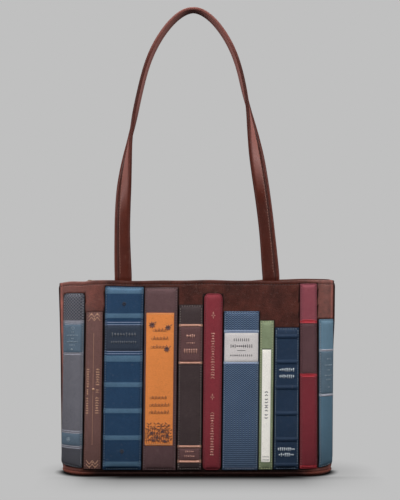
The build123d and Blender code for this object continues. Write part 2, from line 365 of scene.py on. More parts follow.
def leather_material(name, rgb, bands=(), grain=620.0, mottle=0.3, worn=0.25, rough=0.5,
                     grain_depth=0.00012, pattern=None, specular=0.14, painted_sheen=0.22, cloud=24.0):
    """Leather: mottled colour, cell grain with dark creases, worn high spots, uneven gloss. The painted
    shade attribute darkens or lightens it, and where it is high also mixes in a pale painted sheen.
    bands are (z from, z to, colour) in mm, and pattern is a function that returns a colour."""
    tree = Tree(name, Specular_IOR_Level=specular)
    base = colour(*rgb)
    if bands:
        stops, level = [], 0.0
        for low, high, band in sorted(bands):
            if low > level:
                stops.append((level / bag_height, base))
            stops.append((low / bag_height, colour(*band)))
            level = high
        stops.append((level / bag_height, base))
        base = tree.bands(tree.span(tree.axes()["Z"], 0.0, bag_height / 1000), stops)
    if pattern:
        base = pattern(tree, base)
    tone = 0.0
    for scale, weight in ((cloud, 0.45), (85.0, 0.3), (330.0, 0.25)):
        tone = tree.maths("MULTIPLY_ADD", tree.noise(scale, 4.0, 0.6), weight, tone)
    shade = tree.painted_shade()
    lit = tree.maths("ADD", 1.0, shade)
    tone = tree.product(tree.span(tone, 0.3, 0.7, 1.0 - mottle, 1.0 + mottle), lit)
    cells = tree.add("TexVoronoi", {"feature": "DISTANCE_TO_EDGE"}, Vector=tree.place(), Scale=grain)
    crease = cells.outputs["Distance"]
    creased = tree.scaled(tree.scaled(base, tone), tree.span(crease, 0.0, 0.12, 0.72, 1.0))
    # Painted sheen: where the shade attribute is high, the colour is mixed toward the pale sheen colour.
    rub_and_sheen = tree.mix(tree.span(shade, 0.2, 2.2, 0.0, painted_sheen), creased, painted_sheen_colour)
    tree.paint(tree.mix(tree.span(tree.noise(260.0, 5.0, 0.7), 0.58, 0.78, 0.0, worn), rub_and_sheen, scuff_colour))
    gloss = tree.span(tree.noise(70.0), 0.3, 0.7, rough - 0.07, rough + 0.1)
    # Where the shade attribute paints shade, in seams and gaps, the leather is also made rougher.
    dull = tree.span(lit, 0.15, 0.9, 0.45, 0.0)
    tree.feed(tree.shader.inputs["Roughness"], tree.maths("ADD", gloss, dull))
    fine = tree.product(tree.noise(2600.0), 0.06)
    tree.bump(tree.maths("ADD", tree.maths("MINIMUM", crease, 0.22), fine), grain_depth * 6, 0.8)
    return tree.material


def thread_material(name, rgb):
    """Waxed thread: fine twist across its length and a soft sheen."""
    tree = Tree(name, Roughness=0.6, Sheen_Weight=0.3, Sheen_Roughness=0.5)
    twist = tree.noise(3800.0, 2.0)
    tree.paint(tree.mix(twist, dimmed(colour(*rgb), 0.72), colour(*rgb)))
    tree.bump(twist, 0.0002, 0.6)
    return tree.material


def foil_material(name, rgb, metallic=0.0, rough=0.42):
    """Stamped foil or ink, rubbed thin in places."""
    tree = Tree(name, Metallic=metallic, Roughness=rough)
    rub_and_sheen = tree.noise(900.0, 4.0, 0.7)
    tree.paint(tree.mix(tree.span(rub_and_sheen, 0.35, 0.65), dimmed(colour(*rgb), 0.55), colour(*rgb)))
    tree.bump(rub_and_sheen, 0.0001, 0.4)
    return tree.material


def cloth_material(name, rgb, threads_per_metre=1500.0, rough=0.85):
    """Plain woven cloth: warp and weft as crossing waves."""
    tree = Tree(name, Roughness=rough, Sheen_Weight=0.25, Sheen_Roughness=0.6)
    x, y, z = tree.axes()
    warp, weft = (
        tree.maths("SINE", tree.product(run, threads_per_metre * math.pi))
        for run in (tree.maths("ADD", x, y), z))
    weave = tree.product(warp, weft)
    lint = tree.span(tree.noise(160.0, 4.0), 0.4, 0.8, 0.0, 0.2)
    woven = tree.mix(tree.span(weave, -1.0, 1.0), dimmed(colour(*rgb), 0.62), colour(*rgb))
    tree.paint(tree.mix(lint, woven, grey(0.3)))
    tree.bump(weave, 0.0002, 0.7)
    return tree.material


def metal_material(name, rgb, rough=0.36):
    """Antique cast metal with dark recesses and bright rubbed edges."""
    tree = Tree(name, Metallic=1.0)
    stain = tree.noise(420.0, 5.0, 0.7)
    tree.paint(tree.mix(tree.span(stain, 0.4, 0.62), dimmed(colour(*rgb), 0.35), colour(*rgb)))
    tree.feed(tree.shader.inputs["Roughness"], tree.span(stain, 0.3, 0.7, rough + 0.18, rough))
    tree.bump(tree.noise(1600.0), 0.0001, 0.4)
    return tree.material


def outside(tree, z, low, high):
    """1 above high and below low, both in mm, and 0 between them."""
    above, below = tree.maths("GREATER_THAN", z, high / 1000), tree.maths("LESS_THAN", z, low / 1000)
    return tree.maths("ADD", above, below)


def hatch(scale, rgb, low, high):
    """Pattern: small diamonds above high and below low, plain leather between them."""
    def pattern(tree, under):
        x, y, z = tree.axes()
        run = tree.maths("ADD", x, tree.product(y, -0.7))
        rising, falling = (
            tree.maths("ABSOLUTE", tree.maths("SINE", tree.product(tree.maths(way, run, z), scale)))
            for way in ("ADD", "SUBTRACT"))
        lines = tree.span(tree.maths("MAXIMUM", rising, falling), 0.9, 0.99)
        mask = tree.product(lines, outside(tree, z, low, high))
        return tree.mix(tree.product(mask, 0.75), under, colour(*rgb))
    return pattern


def waves(rgb, low, high, wide=0.0036, tall=0.0024):
    """Pattern: rows of small zigzag dashes, left plain between low and high."""
    def pattern(tree, under):
        x, y, z = tree.axes()
        run = tree.product(x, 1 / wide)
        level = tree.maths("ADD", tree.product(z, 1 / tall), tree.maths("PINGPONG", run, 0.5))
        line = tree.span(tree.maths("PINGPONG", level, 0.5), 0.2, 0.36)
        dash = tree.span(tree.maths("PINGPONG", tree.product(run, 3.0), 0.5), 0.1, 0.22)
        mask = tree.product(tree.product(line, dash), outside(tree, z, low, high))
        return tree.mix(tree.product(mask, 0.75), under, colour(*rgb))
    return pattern


brown = leather_material(
    "brown_leather", (70, 34, 27), mottle=0.75, worn=0.14, rough=0.46, grain=560.0, specular=0.2, cloud=42.0)
strap_brown = leather_material(
    "strap_leather", (75, 32, 23), mottle=0.24, worn=0.08, rough=0.42, grain=760.0, specular=0.16,
    grain_depth=0.00004, painted_sheen=0.36)
piping_brown = leather_material(
    "piping_leather", (84, 40, 30), mottle=0.2, worn=0.1, rough=0.4, grain=800.0, specular=0.12)
cord_leather = leather_material("cord_leather", (44, 20, 17), mottle=0.2, worn=0.02, rough=0.6, specular=0.06)
facing_brown = leather_material("facing_leather", (80, 43, 34), mottle=0.2, worn=0.1, grain=700.0)
foam = leather_material("foam", (150, 146, 138), mottle=0.08, worn=0.0, rough=0.95, grain=1200.0)
board = leather_material("board", (112, 96, 78), mottle=0.12, worn=0.0, rough=0.9, grain=1500.0)
lining_cloth = cloth_material("lining_cloth", (120, 104, 88))
tape_cloth = cloth_material("tape_cloth", (58, 36, 30), 2600.0, 0.75)
bronze = metal_material("bronze", (150, 112, 76))
brown_thread = thread_material("brown_thread", (138, 84, 66))
hem_thread = thread_material("hem_thread", (58, 28, 24))
pale_thread = thread_material("pale_thread", (156, 156, 164))


# ---------------------------------------------------------------- book spines

# From a spine's edge inwards: (distance, height, shade). The shade is painted shade, darkest at the
# rolled edge and in the stitch valley, where the gaps between spines lie in shadow. From padded_level
# on, a height is a share of the spine's thickness.
rim_offsets, rim_heights, rim_shades = np.array([
    (0.0, -0.3, -0.85), (0.0, 1.0, -0.75), (0.25, 1.45, -0.3), (0.8, 1.62, -0.05),
    (1.35, 1.42, -0.38), (1.95, 1.66, -0.12), (2.9, 0.86, 0.04), (4.2, 0.98, 0.0),
]).T
padded_level = 6
rim_width, full_padding = rim_offsets[-1], 8.0
underside = -0.3
row_pitch, column_pitch = 3.0, 2.5


class Book:
    """A padded spine sewn to the front. left and right are its edges, (x at the head, x at the
    foot); bands are (z from, z to, colour); ribs are the heights of its raised bands; raised_foot
    is how much higher than foot it ends at its left and right."""

    def __init__(self, key, left, right, foot, head, thickness, rgb, mottle=0.14, bands=(), pattern=None,
                 thread=None, sewn="lrbt", corner=1.2, crown=0.35, ribs=(), rib_width=2.0, rib_height=1.1,
                 raised_foot=(0.0, 0.0)):
        self.key, self.left, self.right, self.foot, self.head = key, left, right, foot, head
        self.thickness, self.corner, self.crown = thickness, corner, crown
        self.ribs, self.rib_width, self.rib_height = ribs, rib_width, rib_height
        self.raised_foot, self.sewn, self.thread = raised_foot, sewn, thread
        self.edges_of_bands = [z for low, high, band in bands for z in (low, high)]
        self.heights = np.append(rim_heights, 1.0)
        self.heights[padded_level:] *= thickness
        self.material = leather_material(
            f"{key}_leather", rgb, bands, mottle=mottle, worn=0.08, rough=0.46, grain=840.0, pattern=pattern)

    def edge(self, edge, z):
        """Distance round the bag of the left or right edge at height z."""
        share = (z - self.foot) / (self.head - self.foot)
        return round_at_x(edge[1] + (edge[0] - edge[1]) * share, z)

    def width(self, z):
        return self.edge(self.right, z) - self.edge(self.left, z)

    def corner_inset(self, z):
        """How far a rounded corner has pulled the side in at height z."""
        gap = np.clip(self.corner - np.minimum(z - self.foot, self.head - z), 0, self.corner)
        return self.corner - np.sqrt(self.corner ** 2 - gap ** 2)

    def slanted(self, share, z):
        """z after the slant of the book's foot, share across the book."""
        left, right = self.raised_foot
        return z + (left + (right - left) * share) * np.clip(1 - (z - self.foot) / 22, 0, 1)

    def near_edge(self, across, z):
        beside = np.minimum(across, self.width(z) - across)
        return np.minimum(beside, np.minimum(z - self.foot, self.head - z))

    def swell(self, share, near):
        return self.crown * (1 - (2 * share - 1) ** 2) * smooth_step(near, 2.0, 8.0)

    def relief(self, z):
        """Height of the raised bands."""
        total = 0 * z
        for rib in self.ribs:
            total = total + self.rib_height * np.exp(-((z - rib) / self.rib_width) ** 4)
        return total

    def surface(self, across, z, lift=0.0):
        """Points on the book: across in mm from its left edge at that z, lift above its leather."""
        near, share = self.near_edge(across, z), across / self.width(z)
        height = np.interp(near, [*rim_offsets[1:], full_padding], self.heights[1:])
        height = height + self.swell(share, near) + lift
        return soften(on_form(self.edge(self.left, z) + across, self.slanted(share, z), height))

    def rows(self):
        """Heights of the mesh's rows between its two rims, closer at its bands or else at its ribs."""
        first, last = self.foot + rim_width, self.head - rim_width
        beside_ribs = [rib + offset for rib in self.ribs for offset in np.arange(-4.2, 4.9, 0.7)]
        extra = self.edges_of_bands or beside_ribs
        rows = np.unique(np.round([*np.arange(first + row_pitch, last - 1, row_pitch), *extra], 3))
        return rows[(rows > first + 0.3) & (rows < last - 0.3)]

    def build(self):
        """The spine's leather, a closed shell with a flat sewn edge and a padded middle, and its
        stitches. Painted shade makes the foot and the sewn edges darker than the middle."""
        levels, middle = np.arange(len(rim_offsets)), self.rows()
        steps = max(6, int((self.right[0] - self.left[0]) / column_pitch))
        shares = np.arange(1, steps + 1) / (steps + 1)
        z = np.concatenate([self.foot + rim_offsets, middle, self.head - rim_offsets[::-1]])[:, None]
        share = np.concatenate([0 * levels, shares, 0 * levels + 1])
        offset = np.concatenate([rim_offsets, rim_width * (1 - 2 * shares), -rim_offsets[::-1]])
        row_level, column_level = (
            np.concatenate([levels, np.full(count, len(levels)), levels[::-1]])
            for count in (len(middle), steps))
        level = np.minimum(row_level[:, None], column_level)
        inset = self.corner_inset(z)
        across = inset + (self.width(z) - 2 * inset) * share + offset
        near, place = self.near_edge(across, z), across / self.width(z)
        height = self.heights[level] + self.swell(place, near)
        height += np.where(level > 2, self.relief(z) * smooth_step(near, 0.8, 2.6), 0)
        upper, lower = (
            soften(on_form(self.edge(self.left, z) + across, self.slanted(place, z), lift))
            for lift in (height, underside))
        # Painted shade: the spine is darker towards its foot.
        foot_shade = 1 - 0.28 * (1 - smooth_step(z, 10, 70))
        shades = (1 + np.append(rim_shades, 0.0)[level]) * foot_shade - 1
        shades = np.append(shades, np.full(shades.size, rim_shades[0]))
        points, faces = closed_sheet(upper, lower, grid_faces(*level.shape))
        piece = mesh_piece(f"{self.key}_spine", [(points, faces, 0)], [self.material], self.key,
                           [f"spine_{self.key}"], shades)
        mesh_piece(f"{self.key}_spine_stitches", self.edge_seams(), [self.thread], self.key)

    def seam(self, across, z, lift, pitch, length, radius):
        path = self.surface(across, z, lift)
        return seam(path, self.surface(across, z, lift + 1) - path, pitch, length, radius)

    def edge_seams(self, inset=1.5, pitch=3.0, length=1.56, radius=0.33):
        """Stitches just inside the sewn edges: left, right, bottom, top."""
        ends = inset + self.corner
        z = np.linspace(self.foot + ends, self.head - ends, 60)
        runs = {"l": (np.full_like(z, inset), z), "r": (self.width(z) - inset, z)}
        for side, level in (("b", self.foot + inset), ("t", self.head - inset)):
            across = np.linspace(ends, self.width(level) - ends, 24)
            runs[side] = (across, np.full_like(across, level))
        return [self.seam(*runs[side], 0.05, pitch, length, radius) for side in self.sewn]


silver, slate_teal, slate_light = (128, 128, 138), (93, 110, 125), (110, 109, 117)
band_blue, line_blue, pale_blue = (79, 109, 134), (112, 124, 150), (170, 184, 206)
copper = (190, 138, 116)

slate = Book(
    "slate", (-158.9, -163.9), (-135.6, -137.9), 9.4, 220.8, 2.9, (66, 66, 74), corner=3.5,
    thread=pale_thread, raised_foot=(3.0, 0.3), pattern=hatch(820.0, (124, 124, 132), 33.0, 186.4),
    bands=[
        (33.0, 36.6, silver), (36.6, 51.0, slate_teal), (51.0, 54.6, silver), (54.6, 145.8, slate_light),
        (145.8, 148.8, silver), (148.8, 183.0, slate_teal), (183.0, 186.4, silver),
    ])
gilt_brown = Book(
    "gilt_brown", (-133.4, -136.0), (-113.4, -115.6), 8.8, 197.5, 2.2, (112, 81, 77), 0.2,
    thread=brown_thread)
wide_blue = Book(
    "wide_blue", (-110.4, -113.3), (-64.2, -67.2), 8.0, 227.9, 3.4, (37, 65, 95), corner=1.8, crown=0.8,
    thread=thread_material("blue_thread", (122, 144, 166)),
    ribs=[15.2, 46.4, 78.3, 110.0, 141.1, 192.3, 222.6], rib_width=2.9, rib_height=0.25,
    bands=[
        *((low, high, band_blue) for low, high in (
            (12.6, 17.8), (43.8, 49.1), (75.6, 81.1), (107.2, 112.8), (137.5, 144.7), (189.7, 195.0),
            (219.0, 226.2))),
        *((low, low + 1.0, line_blue) for low in (146.5, 149.3, 181.2, 184.2)), (150.4, 181.0, (51, 60, 75)),
    ])
plum = Book(
    "plum", (-62.8, -65.3), (-23.2, -25.7), 7.6, 226.8, 3.0, (96, 71, 73), 0.18, corner=1.0, crown=0.6,
    thread=thread_material("plum_thread", (122, 98, 98)))
charcoal = Book(
    "charcoal", (-21.4, -23.8), (7.0, 5.0), 8.0, 205.8, 2.8, (66, 54, 55), 0.22, corner=0.8,
    thread=thread_material("tan_thread", (128, 116, 108)),
    ribs=[17.9, 36.0, 136.0, 181.0], rib_width=1.3, rib_height=0.22,
    bands=[
        *((low, high, copper) for low, high in ((16.3, 19.5), (34.4, 37.6), (134.6, 137.4), (179.6, 182.4))),
        (19.5, 34.4, (96, 68, 66)), (137.4, 179.6, (100, 70, 70)),
    ])
dark_red = Book(
    "dark_red", (8.8, 6.6), (31.0, 28.4), 7.8, 219.2, 3.0, (132, 49, 58), corner=6.0, crown=0.6, sewn="lr",
    thread=thread_material("red_thread", (92, 34, 42)))
patterned_blue = Book(
    "patterned_blue", (32.8, 30.2), (75.0, 72.6), 7.8, 198.2, 3.0, (41, 59, 86), corner=0.9, crown=0.5,
    thread=thread_material("ice_thread", (140, 156, 178)), pattern=waves((128, 150, 176), 136.8, 172.4),
    bands=[(134.4, 136.8, pale_blue), (172.4, 174.8, pale_blue)])
green = Book(
    "green", (76.0, 73.8), (92.7, 90.4), 8.4, 186.8, 2.5, (131, 143, 113), 0.2, corner=0.8,
    thread=thread_material("green_thread", (206, 206, 158)))
navy = Book(
    "navy", (94.1, 91.8), (123.0, 121.6), 8.6, 178.4, 2.6, (34, 52, 75), 0.16, corner=1.0, crown=0.5,
    thread=thread_material("navy_thread", (132, 150, 168)), ribs=[14.0, 44.6, 75.4, 106.6, 137.2, 167.8])
red = Book(
    "red", (124.2, 123.2), (144.4, 144.0), 9.4, 231.0, 2.8, (122, 45, 54), corner=0.9, sewn="lr",
    thread=thread_material("rose_thread", (134, 68, 76)),
    bands=[
        (9.8, 13.0, (176, 52, 62)), (119.4, 122.9, (176, 52, 62)), (122.9, 183.4, (88, 62, 66)),
        (183.4, 186.8, (180, 56, 66)), (186.8, 232.0, (138, 70, 80)),
    ])
teal = Book(
    "teal", (146.7, 146.2), (163.6, 163.4), 10.0, 188.5, 2.8, (87, 116, 135), corner=1.5, sewn="lb",
    thread=pale_thread, raised_foot=(0.0, 2.6),
    bands=[
        (96.2, 98.8, (160, 168, 180)), (98.8, 149.6, (92, 112, 127)), (149.6, 152.2, (150, 158, 170)),
        (152.2, 190.0, (102, 131, 150)),
    ])
books = [slate, gilt_brown, wide_blue, plum, charcoal, dark_red, patterned_blue, green, navy, red, teal]
for book in books:
    book.build()


# ---------------------------------------------------------------- walls

# Places round one half of the bag, as round_from_front() counts them: seam to seam.
corner_steps, side_steps = np.linspace(1, 2, 34)[1:], np.linspace(2, 3, 15)[1:]
right_fractions = np.concatenate([corner_steps, side_steps])
wall_fractions = np.concatenate([-right_fractions[::-1], np.linspace(-1, 1, 180), right_fractions])
to_back = np.array([-1, -1, 1])


def wall_points(profile, back=False):
    """A profile of (height, z) swept round one half of the bag."""
    height, z = np.array(profile, float).T[:, :, None]
    points = on_form(round_from_front(wall_fractions, z), z, height)
    return soften(points * to_back if back else points)


def end_shades(distance):
    """Painted light: the leather is made palest at the bag's ends."""
    return 1.8 * smooth_step(-distance, 80, 158) + 1.8 * smooth_step(distance, 112, 158)


def corner_shades(distance, z):
    """A painted highlight along each front corner's fold and painted shade in the seam behind it,
    strongest at the top.
    """
    corner, flat, angle, past = round_corner(distance, z)
    inset = corner * (1 - np.sin(angle)) - past
    fold_highlight = 1.1 * np.exp(-(inset - 3.6) ** 2) * (0.4 + 0.6 * smooth_step(z, 110, 200))
    seam_shade = 0.6 * (1 - smooth_step(inset, 1.2, 2.4)) * (1 - smooth_step(past, 0.5, 2.5))
    return (1 + fold_highlight) * (1 - seam_shade)


def wall_shades(profile, back):
    """Painted shade and light on the wall's leather, lighter at the ends and towards the top. On the
    front, painted shade is near black between and under the spines and along its foot, and a painted
    highlight lies along the foot at the corners."""
    near_black = 0.88
    z = np.array(profile)[:, 1:]
    distance = round_from_front(wall_fractions, z)
    light = end_shades(distance) * (0.45 + 0.55 * smooth_step(z, 20, 220))
    corners = corner_shades(distance, z)
    if back:
        return (1 + 0.4 * light) * corners - 1
    dark = near_black * smooth_step(-z, -9.5, -8.0) * (1 - smooth_step(np.abs(distance), 112, 150))
    for book in books:
        left, right = book.edge(book.left, z), book.edge(book.right, z)
        foot = book.slanted(np.clip((distance - left) / (right - left), 0, 1), book.foot)
        beside = (distance > left - 1.4) & (distance < right + 1.4)
        dark = np.where(beside & (z > foot - 1) & (z < book.head + 0.6), near_black, dark)
    # Painted highlight on the foot near the corners.
    foot_glow = 0.7 * (1 - smooth_step(z, 9, 13)) * smooth_step(np.abs(distance), 124, 152)
    return (1 + light + foot_glow) * corners * (1 - dark) - 1


def wall_piece(name, profile, material, slot, replaces, back=False, shades=()):
    """A closed solid: the profile is a closed loop, with a cap at each side seam."""
    points = wall_points(profile, back)
    rows, columns = points.shape[:2]
    starts = [row * columns for row in range(rows)]
    faces = grid_faces(rows, columns, close_rows=True)
    faces += [starts, [start + columns - 1 for start in reversed(starts)]]
    return mesh_piece(name, [(points, faces, 0)], [material], slot, [replaces], shades)


def wall_seam(height, z, lift, back, **stitch):
    """Stitches right along one wall, at a height above its leather; lift is their way out."""
    path = wall_points([(height, z)], back)[0]
    return seam(path, wall_points([(height + lift, z)], back)[0] - path, **stitch)


hem, edge_round = 4.6, 1.3


def panel_profile():
    """Outside of the panel upwards, over its rolled top edge and down its inside."""
    top, hem_z = bag_height, bag_height - hem
    outside = [(-0.9, wall_z - 0.1), (-0.25, wall_z + 0.2), (0, wall_z + 0.9)]
    outside += [(0, z) for z in np.linspace(wall_z + 2.6, hem_z - 2, 84)]
    outside += [(0.0, hem_z - 0.9), (-0.28, hem_z - 0.35), (-0.28, hem_z + 0.35), (0.06, hem_z + 0.9)]
    outside += [(0.12, top - hem / 2), (0.08, top - edge_round)]
    rolled = [
        (-edge_round + (edge_round + 0.05) * math.cos(angle), top - edge_round + edge_round * math.sin(angle))
        for angle in np.linspace(0.35, math.pi / 2, 5)
    ]
    inside = [(inside_wall + 0.2, top), (inside_wall, top - 0.1), (inside_wall, top - leather)]
    inside += [(-leather, z) for z in (top - leather, *np.linspace(top - leather - 4, wall_z + 1, 12))]
    return outside + rolled + inside + [(-leather, wall_z - 0.1)]


for back, side in ((False, "front"), (True, "back")):
    wall_piece(
        f"{side}_panel_leather", panel_profile(), brown, "brown_leather", f"{side}_panel", back,
        wall_shades(panel_profile(), back))
    mesh_piece(f"{side}_hem_stitches", [wall_seam(-0.1, bag_height - hem, 1.1, back, length=2.1)],
               [hem_thread], "brown_leather")


def side_cord(side, turn, rises, low=16.0, high=231.5, around=10):
    """The dark cord in the seam of a front corner. It lies deeper below the heights where it rises."""
    z = np.linspace(low, high, 110)
    distance = turn * (half_width - corner_radius(z) * (1 - math.radians(81)))
    full = smooth_step(z, *rises)
    centre, outer = (soften(on_form(distance, z, height + 0.75 * full)) for height in (-0.6, 0.4))
    outward = outer - centre
    sideways = np.cross(outward, [0.0, 0.0, 1.0])
    ends = np.minimum(np.minimum(z - low + 0.4, high + 0.5 - z) / 4, 1) ** 0.5
    radius = (ends * (0.8 + 0.35 * full))[:, None]
    rings = [centre + radius * (outward * cosine + sideways * sine) for cosine, sine in zip(*circle(around))]
    mesh_piece(f"side_cord_{side}", [(np.stack(rings, axis=1), tube_faces(len(z), around), 0)],
               [cord_leather], "piping_leather")


side_cord("left", -1, (60, 180))
side_cord("right", 1, (150, 190))


# ---------------------------------------------------------------- base

def base_ring(height, z):
    """Points right round the base, front then back."""
    front = on_form(round_from_front(wall_fractions, 0.0), 0.0, height)
    ring = np.concatenate([front, (front * to_back)[1:-1]])
    ring[:, 2] = z
    return ring


def base_tube(radius, around):
    """A closed tube round the base: its points and faces."""
    piping_z = node_box("piping_cover")[0][2] + 2.0
    centre = base_ring(-0.6, piping_z)
    outward = base_ring(0.4, piping_z) - centre
    rings = [
        centre + outward * radius * cosine + (0, 0, radius * sine)
        for cosine, sine in zip(*circle(around))
    ]
    return soften(np.stack(rings, axis=1)), grid_faces(len(centre), around, True, True)


def base_plate():
    """The leather under the bag, its edge rounded down to the floor."""
    rows = [(-1.3, 1.6), (-0.9, 1.1), (-1.2, 0.45), (-2.0, 0.1), (-3.4, 0.0)]
    points = np.stack([soften(base_ring(height, z)) for height, z in rows])
    count = points.shape[1]
    faces = grid_faces(len(rows), count, close_columns=True)
    front = len(wall_fractions)
    for row in (0, len(rows) - 1):
        for index in range(front - 1):
            across = [(2 * front - 2 - index - step) % count for step in (0, 1)]
            corners = [index, index + 1, across[1], across[0]]
            faces.append([row * count + corner for corner in dict.fromkeys(corners)])
    mesh_piece("base_leather", [(points, faces, 0)], [brown], "brown_leather", ["base_panel"])


points, faces = base_tube(2.0, 14)
# Painted shade: the piping is near black along the middle of the front, painted lighter elsewhere.
piping_shadow = (1 - smooth_step(np.abs(points[..., 0]), 118, 156)) * (points[..., 1] < 0)
mesh_piece("base_piping", [(points, faces, 0)], [piping_brown], "piping_leather", ["piping_cover"],
           0.8 - 1.68 * piping_shadow)
mesh_piece("base_piping_cord", [(*base_tube(1.2, 8), 0)], [piping_brown], "piping_leather", ["piping_cord"])
base_plate()


# ---------------------------------------------------------------- labels and ornaments

def label(book, low, high, inset, thickness=0.4, round_off=0.25):
    """A thin leather label laid over a book, from low to high, as a part of a piece."""
    rows = max(4, int((high - low) / 3))
    z = np.array([low, low, *np.linspace(low + round_off, high - round_off, rows), high, high])
    left, right = np.full(len(z), inset[0]), book.width(z) - inset[1]
    inner = np.linspace(left + round_off, right - round_off, 18, axis=1)
    across = np.column_stack([left, left, inner, right, right])
    from_end = [np.minimum(np.arange(count), np.arange(count)[::-1]) for count in across.shape]
    level = np.minimum(np.minimum.outer(*from_end), 2)
    lift = np.array([-0.25, thickness - 0.14, thickness])[level]
    z = np.broadcast_to(z[:, None], across.shape)
    upper, lower = (book.surface(across, z, height) for height in (lift, underside))
    return (*closed_sheet(upper, lower, grid_faces(*across.shape)), 0)


for name, book, slot, rgb, mottle, rough, inset, spans in (
    ("slate", slate, "slate_teal", (92, 109, 125), 0.14, 0.5, (2.2, 2.2), [(36.8, 50.8), (149.0, 182.8)]),
    ("wide_blue", wide_blue, "wide_blue_label", (51, 60, 75), 0.12, 0.5, (2.4, 2.4), [(151.2, 180.4)]),
    ("orange", plum, "orange", (231, 139, 73), 0.07, 0.5, (2.4, 4.0), [(37.6, 196.2)]),
    ("charcoal", charcoal, "charcoal_label", (98, 69, 69), 0.16, 0.5, (2.2, 2.2),
     [(20.2, 33.8), (137.8, 179.2)]),
    ("white", patterned_blue, "white_label", (214, 208, 207), 0.04, 0.55, (0.9, 0.9), [(137.6, 172.0)]),
    ("ivory", green, "ivory_label", (252, 248, 240), 0.04, 0.55, (3.0, 3.2), [(17.6, 152.0)]),
    ("maroon", red, "maroon_label", (90, 62, 66), 0.16, 0.5, (2.2, 2.2), [(123.4, 182.8)]),
    ("teal", teal, "teal_label", (92, 112, 127), 0.1, 0.5, (2.0, 2.0), [(99.0, 149.6)]),
):
    name = f"label_{name}"
    material = leather_material(f"{name}_leather", rgb, grain=900.0, worn=0.05, mottle=mottle, rough=rough)
    mesh_piece(f"{name}_leather", [label(book, *span, inset) for span in spans], [material], slot, [name])

for name, rgb, metallic, rough in (
    ("silver_foil", (172, 172, 184), 0.15, 0.6), ("gold_foil", (206, 158, 126), 0.15, 0.42),
    ("copper_foil", (214, 160, 140), 0.2, 0.42), ("rose_foil", (190, 128, 116), 0.3, 0.42),
    ("ice_ink", (140, 154, 184), 0.0, 0.5), ("pale_ink", (196, 206, 214), 0.0, 0.5),
    ("faint_ink", (88, 92, 100), 0.0, 0.5), ("mist_ink", (142, 158, 170), 0.0, 0.5),
    ("navy_ink", (26, 34, 54), 0.0, 0.6), ("dark_ink", (60, 58, 62), 0.0, 0.6),
    ("umber_ink", (120, 66, 40), 0.0, 0.6), ("berry_ink", (92, 58, 58), 0.0, 0.6),
    ("scarlet_ink", (186, 48, 60), 0.0, 0.5),
):
    foil_material(name, rgb, metallic, rough)

leaf_outline = np.array([
    (0, 0), (0.25, 0.38), (0.55, 0.5), (0.82, 0.28), (1, 0), (0.82, -0.28), (0.55, -0.5), (0.25, -0.38)])
ribbon_step = 1.6
on_leather, on_label = 0.1, 0.5


class Stamp:
    """Ornament on one book: thin plates and ribbons laid on its leather. Places are (across, z) in
    mm, across being from the book's middle. ink is the name of its material."""
    made = []

    def __init__(self, name, book, ink, slot, lift=on_leather):
        self.name, self.book, self.ink, self.slot, self.lift = name, book, ink, slot, lift
        self.parts = []
        Stamp.made.append(self)

    def lay(self, outline, faces):
        """A closed thin plate: outline's points and the faces between them."""
        across, z = np.asarray(outline, float).T
        across = across + self.book.width(z) / 2
        upper, lower = (self.book.surface(across, z, lift) for lift in (self.lift, -0.12))
        self.parts.append((*closed_sheet(upper, lower, faces), 0))

    def plate(self, outline):
        self.lay(outline, [list(range(len(outline)))])

    def ribbon(self, path, width, closed=False):
        """A thin plate of even width along a path."""
        path = np.asarray(path, float)
        if closed:
            ahead, behind = np.roll(path, -1, axis=0), np.roll(path, 1, axis=0)
        else:
            at = travelled(path)
            even = np.linspace(0, at[-1], int(at[-1] / ribbon_step) + 1)
            path = sampled(path, at, np.unique(np.append(at, even).round(4)))
            ahead, behind = np.vstack([path[1:], path[-1:]]), np.vstack([path[:1], path[:-1]])
        side = unit(ahead - behind)[:, ::-1] * (-1, 1) * width / 2
        outline = np.stack([path + side, path - side], axis=1).reshape(-1, 2)
        self.lay(outline, grid_faces(len(path), 2, close_rows=closed))

    def rules(self, levels, width, inset=2.6):
        """Lines across the whole book."""
        for z in levels:
            reach = self.book.width(z) / 2 - inset
            self.ribbon([(-reach, z), (reach, z)], width)
        return self

    def upright(self, across, low, high, width):
        self.ribbon([(across, low), (across, high)], width)

    def diamond(self, across, z, wide, tall):
        beside, above = wide / 2, tall / 2
        self.plate([(across - beside, z), (across, z - above), (across + beside, z), (across, z + above)])

    def ring(self, across, z, radius, width=0.45):
        self.ribbon(np.transpose(circle(14)) * radius + (across, z), width, closed=True)

    def dot(self, across, z, radius):
        self.plate(np.transpose(circle(9)) * radius + (across, z))

    def leaf(self, across, z, angle, length, width):
        """A pointed leaf that starts at a place and runs out at an angle in degrees."""
        cosine, sine = math.cos(math.radians(angle)), math.sin(math.radians(angle))
        along, aside = leaf_outline.T * [[length], [width]]
        points = across + along * cosine - aside * sine, z + along * sine + aside * cosine
        self.plate(np.transpose(points)[::-1])

    def flower(self, across, z, size, petals, turn=0.0, plump=0.62):
        for petal in range(petals):
            self.leaf(across, z, turn + 360 / petals * petal, size, size * plump)

    def motifs(self, z, reach, pitch, tall, low_share=0.35, bar=0.34):
        """A row of small ornaments in place of lettering: bars, diamonds and dots by turns."""
        count = int(2 * reach / pitch)
        for index in range(count + 1):
            across = (index - count / 2) * pitch
            kind = chance.random()
            if kind < low_share:
                self.diamond(across, z, pitch * 0.75, tall)
            elif kind < 0.8:
                self.upright(across, z - tall / 2, z + tall / 2, pitch * bar)
            else:
                self.dot(across, z, pitch * 0.4)

    def ladder(self, across, low, high, pitch, wide, bar=0.55):
        """A column of small ornaments in place of upright lettering."""
        ends = across - wide / 2, across + wide / 2
        for z in np.arange(low, high, pitch):
            kind = chance.random()
            if kind < 0.45:
                self.ribbon([(ends[0], z), (across, z), (ends[1], z)], pitch * bar)
            elif kind < 0.8:
                self.diamond(across, z, wide, pitch * 0.85)
            else:
                foot = z - pitch * 0.3
                self.ribbon([(ends[0], foot), (across, z + pitch * 0.25), (ends[1], foot)], pitch * 0.3)

    def build(self):
        mesh_piece(self.name, self.parts, [bpy.data.materials[self.ink]], self.slot)


